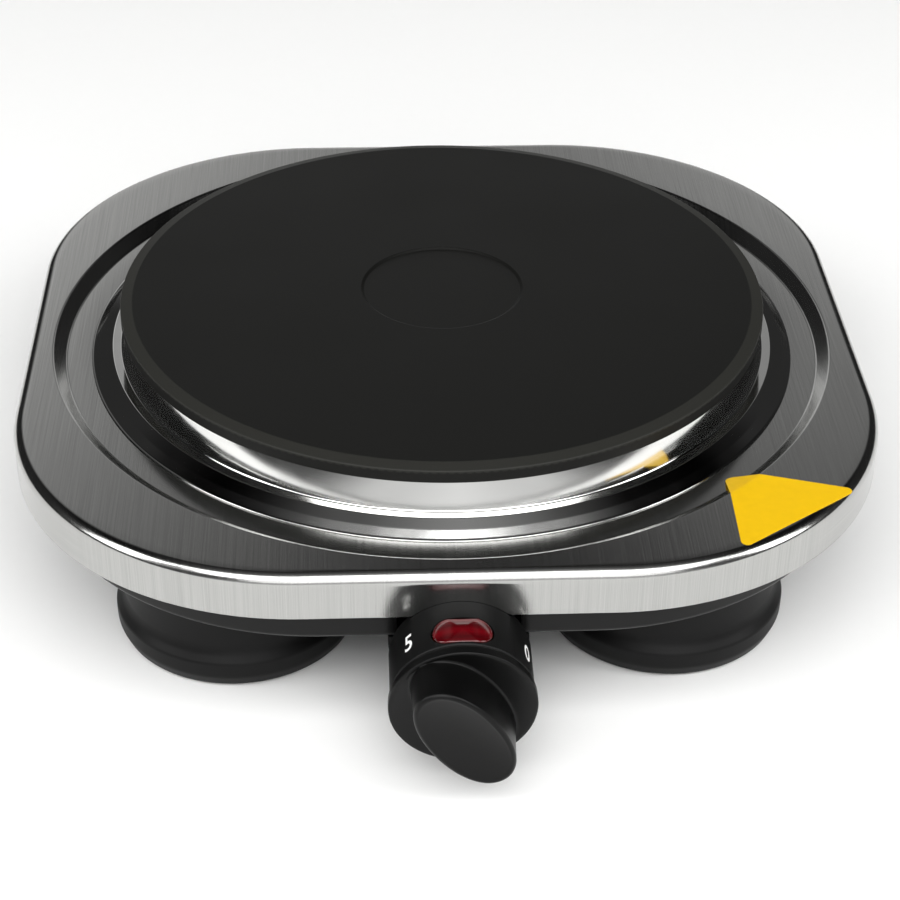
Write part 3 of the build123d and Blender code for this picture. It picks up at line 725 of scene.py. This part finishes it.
# Frame nodes that keep their own mesh, grouped by what they are made of
HARDWARE = {
    ("Steel, zinc plated", "#b9bcc0", 1.0, 0.34, 3.0): (
        "plate_cover", "centre_stud", "stud_spacer", "clamp_bar", "stud_washer", "stud_nut",
        "shell_brackets", "shell_screws", "foot_screws", "foot_nuts", "housing_screws",
        "thermostat_bracket", "bracket_screws", "bezel_screws", "thermostat_shaft",
        "terminal_screws", "earth_screw", "fuse_clip",
    ),
    ("Steel, aluminised", "#cfd1d2", 1.0, 0.26, 8.0): ("heat_shield",),
    ("Resistance wire, oxidised", "#5a5552", 1.0, 0.5, 1.0): ("heating_coils",),
    ("Ceramic cement, cast", "#beb7a8", 0.0, 0.9, 1.5): ("coil_cement",),
    ("Steatite, pressed and fired", "#e9e3d3", 0.0, 0.6, 2.0): (
        "terminal_bushes", "thermostat_body", "terminal_block",
    ),
    ("Brass, turned", "#c9a455", 1.0, 0.28, 2.0): (
        "thermostat_bush", "thermostat_nut", "thermostat_blade", "thermostat_tabs",
    ),
    ("Spring steel, blued", "#4c4f58", 1.0, 0.35, 1.0): ("knob_clip",),
    ("Glass, drawn", "#d8d2c6", 0.0, 0.12, 5.0): ("neon_lamp", "thermal_fuse"),
    ("Silicone sleeve, brown", "#5b3620", 0.0, 0.5, 3.0): ("live_wire",),
    ("Silicone sleeve, blue", "#2b6fb3", 0.0, 0.5, 3.0): ("neutral_wire",),
    ("Glass braid, white", "#ddd9cf", 0.0, 0.8, 0.6): (
        "thermostat_wire", "heater_wire", "lamp_wires",
    ),
    ("Silicone sleeve, green", "#7d9a2c", 0.0, 0.5, 3.0): ("earth_wire",),
}


# ---------------------------------------------------------------------------------------------
# Operators: one for each piece or group of like pieces
# ---------------------------------------------------------------------------------------------

class BuildCookingDisc(bpy.types.Operator):
    """Turn the cast-iron cooking disc with its bevel, dimple and coil grooves"""

    bl_idname = "hot_plate.build_cooking_disc"
    bl_label = "Cooking disc"

    def execute(self, context):
        size = sizes()
        top, bottom = PLATE_HIGH.z, PLATE_LOW.z
        radius = PLATE_RADIUS
        neck = radius - 4 * MM
        groove_top = bottom + 5 * MM
        stud_hole, hole_end = 3.1 * MM, bottom + 8 * MM
        corners = [
            (0, top - size.dimple_depth, 0),
            (size.dimple_radius - 0.4 * MM, top - size.dimple_depth, 0.5 * MM),
            (size.dimple_radius + 0.4 * MM, top, 0.5 * MM),
            (radius - size.bevel_width, top, 0.5 * MM),
            (radius, top - size.bevel_drop, 0.45 * MM),
            (radius, top - size.rim_height, 0.5 * MM),
            (neck, top - size.rim_height, 0),
            (neck, bottom, 0),
        ]
        # Two ring-shaped grooves underneath hold the coils
        for outer, inner in ((82 * MM, 58 * MM), (56 * MM, 32 * MM)):
            corners += [
                (outer, bottom, 0), (outer, groove_top, 0), (inner, groove_top, 0),
                (inner, bottom, 0),
            ]
        corners += [(stud_hole, bottom, 0), (stud_hole, hole_end, 0), (0, hole_end, 0)]
        disc = turned("cooking_disc", rounded(corners, closed=False), size.segments)
        fit_piece(disc, "root", "cast_iron", coated_cast_iron(), "hot_plate")
        return {"FINISHED"}


class BuildSpillRing(bpy.types.Operator):
    """Turn the polished spill ring: tall flared wall, narrow land and broad sloping bead"""

    bl_idname = "hot_plate.build_spill_ring"
    bl_label = "Spill ring"

    def execute(self, context):
        size = sizes()
        foot = RING_LOW.z
        top = RING_HIGH.z
        edge = RING_RADIUS

        def up(height):
            return foot + height * MM

        def out(inset):
            return edge - inset * MM

        # Down the wall, over the flat land, and down the slope to the foot
        skin_side = rounded([
            (out(11.7), top, 0),
            (out(9.0), up(3.1), 0.7 * MM),
            (out(6.2), up(3.2), 0.9 * MM),
            (out(3.0), up(1.9), 3.0 * MM),
            (out(0.7), up(0.5), 1.2 * MM),
            (out(0.0), up(0.35), 0.3 * MM),
            (out(0.05), foot, 0),
        ], closed=False)
        under_side = [
            (out(0.8), foot), (out(1.3), up(0.3)), (out(3.4), up(1.2)), (out(6.2), up(2.4)),
            (out(9.5), up(2.3)), (out(9.9), up(3.1)), (out(12.4), top),
        ]
        ring = turned("spill_ring", skin_side + under_side, size.segments)
        fit_piece(ring, "root", "polished_steel", polished_stainless(), "trim_ring")
        return {"FINISHED"}


class BuildTopShell(bpy.types.Operator):
    """Press the brushed shell: round recess, rounded-square top, rolled edge and skirt"""

    bl_idname = "hot_plate.build_top_shell"
    bl_label = "Top shell"

    def execute(self, context):
        size = sizes()
        count = 2 * size.segments
        half, corner, sheet = SHELL_HALF, size.body_corner, size.sheet
        top, hem = SHELL_HIGH.z, SHELL_LOW.z
        floor = top - size.recess_depth
        inner, outer = size.recess_radius, size.recess_radius + size.recess_slope

        loops = [circle_loop(p.x, p.y, count) for p in recess_section()]
        # Flat top between the round fold and the rounded-square edge
        edge = size.edge_round
        rim = square_loop(half - edge, corner - edge, top, count)
        flat_start = loops[-1]
        loops += [mix_loops(flat_start, rim, share) for share in (0.15, 0.5, 0.85)]
        # Top edge as a quarter round, then the skirt down to its hem
        for step in range(9):
            turn = math.radians(90) * step / 8
            inset = edge * (1 - math.sin(turn))
            drop = edge * (1 - math.cos(turn))
            loops.append(square_loop(half - inset, corner - inset, top - drop, count))
        hem_turn = sheet / 2
        for inset, height in (
            (0, hem + 2 * MM), (0, hem + hem_turn), (0.3 * hem_turn, hem + 0.15 * MM),
            (hem_turn, hem), (sheet, hem + 0.3 * MM), (sheet, hem + 2 * MM),
            # Inside of the sheet, back up to the underside of the top
            (sheet, top - edge), (edge * 0.5 + sheet, top - sheet * 1.6),
            (edge + sheet, top - sheet),
        ):
            loops.append(square_loop(half - inset, corner - inset, height, count))
        # Underside of the recess, back to the opening
        for radius, height in (
            (outer + 1 * MM, top - sheet), (inner + sheet * 0.4, floor - sheet),
            (size.opening, floor - sheet),
        ):
            loops.append(circle_loop(radius, height, count))
        shell = skin("pressed_shell", loops, join_ends=True)
        fit_piece(shell, "root", "brushed_steel", brushed_stainless(), "top_shell")
        return {"FINISHED"}


class BuildFeet(bpy.types.Operator):
    """Turn the four hollow feet, each with a concave flank and a rounded lip"""

    bl_idname = "hot_plate.build_feet"
    bl_label = "Feet"

    def execute(self, context):
        top, bottom = FOOT_HIGH.z, FOOT_LOW.z
        radius = FOOT_RADIUS
        pad_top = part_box("foot_pads")[1].z

        def inset(amount):
            return radius - amount * MM

        screw_hole, boss, nut_pocket, pocket_end = 2.1 * MM, 7 * MM, 4.6 * MM, 18 * MM
        hollow, hollow_floor = 28 * MM, 5 * MM
        outline = rounded([
            (screw_hole, pocket_end, 0),
            (screw_hole, top, 0),
            (boss, top, 0),
            (boss, hollow_floor, 0),
            (hollow, hollow_floor, 0),
            (hollow, top, 0),
            (inset(2.0), top, 0),
            (inset(2.5), top - 6 * MM, 14 * MM),
            (inset(2.4), bottom + 10.5 * MM, 5 * MM),
            (inset(0.0), bottom + 7.6 * MM, 1.6 * MM),
            (inset(0.05), bottom + 3.2 * MM, 4 * MM),
            (inset(1.4), bottom, 0.7 * MM),
            (inset(2.3), bottom, 0),
            (inset(2.3), pad_top, 0),
            (nut_pocket, pad_top, 0),
            (nut_pocket, pocket_end, 0),
        ])
        for node in FEET:
            foot = turned(f"moulded_{node}", outline, sizes().segments // 2, foot_place(node))
            fit_piece(foot, "root", "foot_plastic", foot_plastic(), node)
        return {"FINISHED"}


class BuildFootPads(bpy.types.Operator):
    """Mould the rubber pads with shallow rings on their soles"""

    bl_idname = "hot_plate.build_foot_pads"
    bl_label = "Foot pads"

    def execute(self, context):
        low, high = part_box("foot_pads")
        radius = FOOT_RADIUS - 2.5 * MM
        corners = [(0, high.z, 0), (radius, high.z, 0), (radius, low.z, 0.6 * MM)]
        # Grooves in the sole, from near its edge to near its middle
        groove, rib, depth, slant = 1.0 * MM, 3.2 * MM, 0.5 * MM, 0.2 * MM
        soft = 0.15 * MM
        reach = radius - 2.4 * MM
        while reach > 6 * MM:
            corners += [
                (reach, low.z, slant), (reach - slant, low.z + depth, soft),
                (reach - groove, low.z + depth, soft), (reach - groove - slant, low.z, slant),
            ]
            reach -= groove + rib
        corners.append((0, low.z, 0))
        outline = rounded(corners, closed=False)
        for node in FEET:
            pad = turned(
                f"rubber_pad_{node[5:]}", outline, sizes().segments // 2, foot_place(node)
            )
            fit_piece(pad, "root", "rubber", pad_rubber(), "foot_pads")
        return {"FINISHED"}


class BuildKnob(bpy.types.Operator):
    """Shape the thermostat knob: a dished disc with an upright oval grip"""

    bl_idname = "hot_plate.build_knob"
    bl_label = "Knob"

    # At rest the grip leans towards 5 o'clock: degrees clockwise from straight up
    GRIP_CLOCK = 146.0

    # Places along the knob's axis, out from the bezel's face
    BACK = 0.6 * MM
    RIM = 3.6 * MM
    BORE_END = 9.4 * MM
    END = 15.1 * MM

    # How deep the end of the grip and the face of the disc are dished
    END_DISH = 1.5 * MM
    FACE_DISH = 1.3 * MM

    # Radii of the lip round the grip's end, the fillet round its foot, and the shaft's bore
    LIP = 1.1 * MM
    FILLET = 0.8 * MM
    BORE = 3.05 * MM

    def execute(self, context):
        size = sizes()
        count = size.segments
        radius = size.knob_radius
        angle = math.radians(90 - self.GRIP_CLOCK)
        limit = radius - 0.95 * MM
        loops = [[knob_point(0, 0, self.END - self.END_DISH)]]

        def add_oval(long, wide, out):
            loops.append([knob_point(p.x, p.y, out) for p in oval(long, wide, angle, count)])

        def face_height(reach):
            return self.RIM - self.FACE_DISH + (reach / limit) ** 3 * self.FACE_DISH

        # Dished end of the grip
        inner_length = size.grip_length - 2 * self.LIP
        inner_width = size.grip_width - 2 * self.LIP
        for share in (0.12, 0.25, 0.4, 0.55, 0.7, 0.82, 0.92, 0.98):
            hollow = self.END_DISH * (1 - share ** 2) + 0.05 * MM
            add_oval(inner_length * share, inner_width * share, self.END - hollow)
        # Rounded lip of the end, then the wall, which spreads slightly towards the disc
        for step in range(7):
            turn = math.radians(90) * step / 6
            grow = 2 * self.LIP * math.sin(turn)
            add_oval(
                inner_length + grow, inner_width + grow,
                self.END - self.LIP * (1 - math.cos(turn)),
            )
        for share in (0.3, 0.6, 0.85):
            add_oval(
                size.grip_length + 0.5 * MM * share, size.grip_width + 1.0 * MM * share,
                self.END - self.LIP - (self.END - self.RIM) * 0.86 * share,
            )
        # Small fillet where the grip meets the dished disc
        foot = oval(size.grip_length + 0.5 * MM, size.grip_width + 1.1 * MM, angle, count)
        for step in range(4):
            turn = math.radians(90) * step / 3
            lift = self.FILLET * (1 - math.sin(turn))
            inside = []
            for p in foot:
                room = max(min(self.FILLET, limit - 0.1 * MM - p.length), 0.0)
                inside.append(p * (1 + room * (1 - math.cos(turn)) / p.length))
            loops.append([knob_point(p.x, p.y, face_height(p.length) + lift) for p in inside])
        # Dished face of the disc, out to its rim
        for share in (0.2, 0.4, 0.6, 0.8, 1.0):
            ring = [p.lerp(p.normalized() * limit, share) for p in inside]
            loops.append([knob_point(p.x, p.y, face_height(p.length)) for p in ring])
        # Rim, side, and the hollow back with the blind bore for the shaft
        hollow_top = self.BACK + 1.4 * MM
        side = rounded([
            (limit, self.RIM, 0), (radius, self.RIM, 0.9 * MM), (radius, self.BACK, 0.6 * MM),
            (16 * MM, self.BACK, 0.2 * MM), (15.6 * MM, hollow_top, 0.2 * MM),
            (5.2 * MM, hollow_top, 0), (5.0 * MM, self.BACK, 0.1 * MM),
            (self.BORE, self.BACK, 0), (self.BORE, self.BORE_END, 0), (0, self.BORE_END, 0),
        ], closed=False)
        directions = [p.normalized() for p in inside]
        for reach, out in side[1:]:
            if reach < TIP:
                loops.append([knob_point(0, 0, out)])
            else:
                loops.append([knob_point(d.x * reach, d.y * reach, out) for d in directions])
        knob = skin("thermostat_knob", loops)
        fit_piece(knob, "knob", "knob_plastic", knob_plastic(), "knob")
        return {"FINISHED"}


# The lamp's window: its size, and the place of its middle along the knob's axis
LENS_LENGTH = 15.5 * MM
LENS_WIDTH = 8.4 * MM
LENS_OUT = -5.4 * MM


class BuildBezel(bpy.types.Operator):
    """Turn the control bezel, cut its lens window, and trim it to the pan and the skirt"""

    bl_idname = "hot_plate.build_bezel"
    bl_label = "Control bezel"

    def execute(self, context):
        size = sizes()
        radius = size.bezel_radius
        wall, front, rear = 2.0 * MM, 2.5 * MM, -30 * MM
        shaft_hole = 3.6 * MM
        outline = rounded([
            (shaft_hole, 0.0, 0.3 * MM),
            (radius, 0.0, 0.9 * MM),
            (radius, rear, 0),
            (radius - wall, rear, 0),
            (radius - wall, -front, 0),
            (shaft_hole, -front, 0),
        ])
        bezel = turned("control_bezel_cover", outline, size.segments, KNOB_FRAME)
        gap = 0.3 * MM
        window = [
            [knob_point(p.x, lift, LENS_OUT + p.y)
             for p in slot_outline(LENS_LENGTH + gap, LENS_WIDTH + gap, 64)]
            for lift in (13 * MM, 24 * MM)
        ]
        tips = [[sum(loop, Vector()) / len(loop)] for loop in window]
        cut(bezel, skin("window_cutter", [tips[0], window[0], window[1], tips[1]]))
        # Everything behind the pan's front, and what would reach into the skirt
        reach = 0.05
        ceiling = 0.09
        cut(bezel, block(
            "rear_cutter", Vector((-reach, PAN_FRONT, -reach)),
            Vector((reach, PAN_FRONT + reach, ceiling)),
        ))
        cut(bezel, block(
            "skirt_cutter", Vector((-reach, SHELL_LOW.y - 0.1 * MM, SHELL_LOW.z - 0.3 * MM)),
            Vector((reach, SHELL_LOW.y + reach, ceiling)),
        ))
        bezel.data.polygons.foreach_set("use_smooth", [True] * len(bezel.data.polygons))
        bezel.data.set_sharp_from_angle(angle=math.radians(35))
        soft = bezel.modifiers.new("Moulded edges", "BEVEL")
        soft.width = 0.25 * MM
        soft.segments = 3
        soft.limit_method = "ANGLE"
        soft.angle_limit = math.radians(40)
        soft.harden_normals = True
        fit_piece(bezel, "root", "black_plastic", housing_plastic(), "control_bezel")
        # Bosses inside that take the bezel's two screws
        pilot, boss_radius, boss_end = 1.6 * MM, 3 * MM, -20.5 * MM
        for name, side in (("left", -1), ("right", 1)):
            boss = turned(
                f"bezel_boss_{name}",
                [(pilot, boss_end), (boss_radius, boss_end), (boss_radius, -front),
                 (pilot, -front)],
                48, KNOB_FRAME @ Matrix.Translation((side * 11 * MM, 0, 0)),
            )
            fit_piece(boss, "root", "black_plastic", housing_plastic())
        return {"FINISHED"}


class BuildLens(bpy.types.Operator):
    """Mould the red lamp lens that follows the bezel's round top"""

    bl_idname = "hot_plate.build_lens"
    bl_label = "Indicator lens"

    def execute(self, context):
        radius = sizes().bezel_radius
        outline = slot_outline(LENS_LENGTH, LENS_WIDTH, 96)
        crown = 0.3 * MM
        back = radius - 2.3 * MM

        def loop(share, height):
            return [on_bezel(p.x * share, LENS_OUT + p.y * share, height) for p in outline]

        loops = [[on_bezel(0, LENS_OUT, radius + crown)]]
        for share in (0.15, 0.3, 0.45, 0.6, 0.75, 0.86, 0.93):
            loops.append(loop(share, radius + crown * (1 - 0.4 * share ** 3)))
        for share, height in ((0.965, 0.12), (0.985, 0.02), (1.0, -0.2), (1.0, -2.2)):
            loops.append(loop(share, radius + height * MM))
        loops += [loop(0.8, back), [on_bezel(0, LENS_OUT, back)]]
        lens = skin("lamp_lens", loops)
        fit_piece(lens, "root", "red_lens", red_lens_plastic(), "indicator_lens")
        return {"FINISHED"}


class BuildDialNumbers(bpy.types.Operator):
    """Pad-print the dial numbers round the bezel, clockwise from 0"""

    bl_idname = "hot_plate.build_dial_numbers"
    bl_label = "Dial numbers"

    # Degrees clockwise from the top of the bezel
    FIRST_CLOCK = 64.0
    LAST_CLOCK = 313.0
    LAST_NUMBER = 5

    # The font's size over its digits' height, and how much the digits are narrowed
    FONT_SIZE = 1.38
    NARROWING = 0.82

    def execute(self, context):
        size = sizes()
        radius = size.bezel_radius
        ink_top = radius + 0.06 * MM
        centre_out = -6.8 * MM
        for number in range(self.LAST_NUMBER + 1):
            share = number / self.LAST_NUMBER
            clock = math.radians(
                self.FIRST_CLOCK + (self.LAST_CLOCK - self.FIRST_CLOCK) * share
            )
            body = self.digit(str(number), size.digit_height * self.FONT_SIZE)
            for vertex in body.verts:
                turn = clock + vertex.co.x * self.NARROWING / radius
                vertex.co = knob_point(
                    ink_top * math.sin(turn), ink_top * math.cos(turn), centre_out - vertex.co.y
                )
            bmesh.ops.remove_doubles(body, verts=body.verts, dist=0.001 * MM)
            piece = body_to_object(f"dial_number_{number}", body)
            fit_piece(piece, "root", None, dial_ink())
        return {"FINISHED"}

    def digit(self, text, height):
        """One flat digit, cut finely enough to wrap round the bezel."""
        curve = bpy.data.curves.new("dial_number", "FONT")
        curve.body = text
        curve.size = height
        curve.align_x = "CENTER"
        curve.align_y = "CENTER"
        curve.offset = 0.1 * MM
        curve.resolution_u = 6
        carrier = bpy.data.objects.new("dial_number", curve)
        bpy.context.scene.collection.objects.link(carrier)
        bpy.context.view_layer.update()
        seen = carrier.evaluated_get(bpy.context.evaluated_depsgraph_get())
        flat = bpy.data.meshes.new_from_object(seen)
        bpy.data.objects.remove(carrier)
        body = bmesh.new()
        body.from_mesh(flat)
        bpy.data.meshes.remove(flat)
        bmesh.ops.triangulate(body, faces=body.faces)
        bmesh.ops.subdivide_edges(body, edges=body.edges, cuts=1)
        return body


class BuildSticker(bpy.types.Operator):
    """Lay the blank three-cornered sticker over the edge of the round recess"""

    bl_idname = "hot_plate.build_sticker"
    bl_label = "Blank sticker"

    THICKNESS = 0.12 * MM
    SUNK = -0.05 * MM
    RINGS = 24

    def execute(self, context):
        size = sizes()
        section = recess_section()
        # The film is stiff enough to bridge the recess's slope in one straight ramp
        low, high = section[0].y, section[-1].y
        ramp_start = size.recess_radius - 4 * MM
        ramp_end = size.recess_radius + size.recess_slope + 0.4 * MM

        def on_sheet(point, lift):
            share = (point.length - ramp_start) / (ramp_end - ramp_start)
            height = low + (high - low) * min(max(share, 0.0), 1.0)
            return BURNER + Vector((point.x, point.y, height + lift))

        corner = 1.6 * MM
        outline = rounded([
            (72.4 * MM, -75.4 * MM, corner), (106.2 * MM, -86.0 * MM, corner),
            (71.6 * MM, -110.8 * MM, corner),
        ])
        # Even steps along the outline keep the film's facets square over the fold
        step_length = 0.8 * MM
        edge = []
        for a, b in zip(outline, outline[1:] + outline[:1]):
            steps = max(1, round((b - a).length / step_length))
            edge += [a.lerp(b, step / steps) for step in range(steps)]
        middle = sum(edge, Vector((0, 0))) / len(edge)

        def lay(share, lift):
            return [on_sheet(middle.lerp(p, share), lift) for p in edge]

        shares = [i / self.RINGS for i in range(1, self.RINGS)]
        loops = [[on_sheet(middle, self.THICKNESS)]]
        loops += [lay(share, self.THICKNESS) for share in shares]
        loops += [
            lay(0.997, self.THICKNESS), lay(1.0, self.THICKNESS - 0.04 * MM), lay(1.0, self.SUNK)
        ]
        loops += [lay(share, self.SUNK) for share in reversed(shares)]
        loops.append([on_sheet(middle, self.SUNK)])
        film = skin("blank_film", loops)
        fit_piece(film, "root", "sticker_film", sticker_film(), "blank_sticker")
        return {"FINISHED"}


class DressBase(bpy.types.Operator):
    """Finish the base pan, the housing under it and the cord inlet"""

    bl_idname = "hot_plate.dress_base"
    bl_label = "Base pan and housings"

    def execute(self, context):
        dress("base_pan", black_enamel())
        for node in ("control_housing", "cord_gland", "gland_nut"):
            dress(node, housing_plastic())
        return {"FINISHED"}


class DressHardware(bpy.types.Operator):
    """Finish the fasteners, coils, thermostat, terminals and wires"""

    bl_idname = "hot_plate.dress_hardware"
    bl_label = "Hardware and wiring"

    def execute(self, context):
        for finish, nodes in HARDWARE.items():
            for node in nodes:
                dress(node, plain_finish(*finish))
        return {"FINISHED"}


class BuildStage(bpy.types.Operator):
    """Set the pale floor, the soft studio light and the camera"""

    bl_idname = "hot_plate.build_stage"
    bl_label = "Studio stage"

    # (name, place, size, power): soft panels round and over the burner, all facing it
    PANELS = (
        ("overhead", (0.0, -0.95, 1.6), (2.4, 1.3), 34.0),
        ("left", (-1.7, -0.5, 1.2), (0.8, 1.4), 17.0),
        ("right", (1.7, -0.6, 1.1), (0.7, 1.3), 15.0),
        ("front", (0.1, -1.9, 1.2), (2.0, 1.1), 12.0),
    )

    # (turn over the top from the front horizon, 0, to the rear one, 1; brightness) of the room
    TONES = (
        (0.0, 1.0), (0.14, 0.8), (0.26, 0.12), (0.4, 0.1), (0.46, 0.7), (0.54, 0.3),
        (0.64, 0.1), (0.795, 0.012), (0.85, 0.3), (0.92, 0.85),
    )

    def execute(self, context):
        scene = context.scene
        # Plain tones, so that the pale floor stays white
        scene.view_settings.view_transform = "Standard"
        floor_piece = self.build_floor()
        target = Vector((0, BURNER.y, SHELL_HIGH.z))
        for name, place, size, power in self.PANELS:
            light = bpy.data.lights.new(f"panel_{name}", "AREA")
            light.shape = "RECTANGLE"
            light.size, light.size_y = size
            light.energy = power
            panel = bpy.data.objects.new(f"panel_{name}", light)
            scene.collection.objects.link(panel)
            panel.location = place
            panel.rotation_euler = (target - panel.location).to_track_quat("-Z", "Y").to_euler()
        self.build_surroundings(scene)
        self.build_camera(scene)
        return {"FINISHED"}

    def build_floor(self):
        """A wide, plain, pale floor."""
        reach = 6.0
        body = bmesh.new()
        corners = ((-reach, -reach), (reach, -reach), (reach, reach), (-reach, reach))
        body.faces.new([body.verts.new((x, y, 0.0)) for x, y in corners])
        floor_piece = body_to_object("studio_floor", body, smooth=False)
        floor_piece.data.materials.append(studio_paper())
        return floor_piece

    def build_surroundings(self, scene):
        """Room light: bright at both horizons, dark between, with a lit strip overhead."""
        world = bpy.data.worlds.new("Studio surroundings")
        scene.world = world
        world.use_nodes = True
        tree = world.node_tree
        way = add_node(tree, "ShaderNodeTexCoord")
        parts = add_node(tree, "ShaderNodeSeparateXYZ", {"Vector": way.outputs["Generated"]})
        # Turn over the top, from 0 at the front horizon to 1 at the rear horizon
        behind = add_node(
            tree, "ShaderNodeMath", {0: parts.outputs["Y"], 1: -1.0}, operation="MULTIPLY"
        )
        climb = add_node(
            tree, "ShaderNodeMath", {0: parts.outputs["Z"], 1: behind.outputs[0]},
            operation="ARCTAN2",
        )
        over = add_node(
            tree, "ShaderNodeMath", {0: climb.outputs[0], 1: math.pi}, operation="DIVIDE"
        )
        # Towards both sides the tones come sooner, so the lit strip bends forwards
        aside = add_node(
            tree, "ShaderNodeMath", {0: parts.outputs["X"], 1: 0.06}, operation="SUBTRACT"
        )
        apart = add_node(tree, "ShaderNodeMath", {0: aside.outputs[0]}, operation="ABSOLUTE")
        shift = add_node(
            tree, "ShaderNodeMath", {0: apart.outputs[0], 1: 0.3, 2: over.outputs[0]},
            operation="MULTIPLY_ADD",
        )
        background = tree.nodes["Background"]
        band = add_node(
            tree, "ShaderNodeValToRGB", {"Fac": shift.outputs[0]},
            {"Color": background.inputs["Color"]},
        )
        band.color_ramp.interpolation = "EASE"
        ramp = band.color_ramp.elements
        while len(ramp) < len(self.TONES):
            ramp.new(0.5)
        for stop, (place, tone) in zip(ramp, self.TONES):
            stop.position = place
            stop.color = shade((tone, tone, tone))
        # The room's rear corners are dark, which draws the black lines round the polished edges
        sides = add_node(tree, "ShaderNodeMath", {0: parts.outputs["X"]}, operation="ABSOLUTE")
        rearward = add_node(
            tree, "ShaderNodeMapRange",
            {"Value": parts.outputs["Y"], "From Min": -0.3, "From Max": 0.3, "To Min": 0.3},
        )
        corner = add_node(
            tree, "ShaderNodeMath", {0: sides.outputs[0], 1: rearward.outputs["Result"]},
            operation="MULTIPLY",
        )
        add_node(
            tree, "ShaderNodeMapRange",
            {"Value": corner.outputs[0], "From Min": 0.16, "From Max": 0.4, "To Min": 0.9,
             "To Max": 0.03},
            {"Result": background.inputs["Strength"]}, interpolation_type="SMOOTHSTEP",
        )

    def build_camera(self, scene):
        """A long lens in front, a little left and above, level but for a slight roll."""
        target = Vector((0.0, BURNER.y, PLATE_HIGH.z))
        camera = bpy.data.cameras.new("studio_camera")
        camera.lens = 88.0
        camera.sensor_width = 36.0
        camera.clip_start = 0.02
        camera.clip_end = 50.0
        holder = bpy.data.objects.new("studio_camera", camera)
        scene.collection.objects.link(holder)
        holder.location = target + Vector((-0.02396, -0.55187, 0.32018))
        forward = Vector((0.03991, 0.82465, -0.56424)).normalized()
        roll = Matrix.Rotation(math.radians(0.52), 3, "Z")
        holder.rotation_euler = (forward.to_track_quat("-Z", "Y").to_matrix() @ roll).to_euler()
        scene.camera = holder


# ---------------------------------------------------------------------------------------------
# Sidebar panel and start
# ---------------------------------------------------------------------------------------------

BUILDERS = (
    BuildCookingDisc, BuildSpillRing, BuildTopShell, BuildFeet, BuildFootPads, BuildKnob,
    BuildBezel, BuildLens, BuildDialNumbers, BuildSticker, DressBase, DressHardware, BuildStage,
)


class HotPlatePanel(bpy.types.Panel):
    """Settings and build steps of the hot plate burner"""

    bl_idname = "VIEW3D_PT_hot_plate"
    bl_label = "Hot Plate Burner"
    bl_space_type = "VIEW_3D"
    bl_region_type = "UI"
    bl_category = "Hot Plate"

    def draw(self, context):
        column = self.layout.column(align=True)
        for builder in BUILDERS:
            column.operator(builder.bl_idname)
        for group in (context.scene.hot_plate_sizes, context.scene.hot_plate_colours):
            column = self.layout.column(align=True)
            for name in group.__annotations__:
                column.prop(group, name)


CLASSES = (HotPlateSizes, HotPlateColours, *BUILDERS, HotPlatePanel)


def register():
    """Register the settings, the operators and the panel."""
    for made in CLASSES:
        bpy.utils.register_class(made)
    bpy.types.Scene.hot_plate_sizes = PointerProperty(type=HotPlateSizes)
    bpy.types.Scene.hot_plate_colours = PointerProperty(type=HotPlateColours)


def unregister():
    """Take the settings, the operators and the panel away again."""
    del bpy.types.Scene.hot_plate_colours
    del bpy.types.Scene.hot_plate_sizes
    for made in reversed(CLASSES):
        bpy.utils.unregister_class(made)


def main():
    """Build every piece and the stage."""
    register()
    bpy.ops.hot_plate.build_cooking_disc()
    bpy.ops.hot_plate.build_spill_ring()
    bpy.ops.hot_plate.build_top_shell()
    bpy.ops.hot_plate.build_feet()
    bpy.ops.hot_plate.build_foot_pads()
    bpy.ops.hot_plate.build_knob()
    bpy.ops.hot_plate.build_bezel()
    bpy.ops.hot_plate.build_lens()
    bpy.ops.hot_plate.build_dial_numbers()
    bpy.ops.hot_plate.build_sticker()
    bpy.ops.hot_plate.dress_base()
    bpy.ops.hot_plate.dress_hardware()
    bpy.ops.hot_plate.build_stage()


if __name__ == "__main__":
    main()
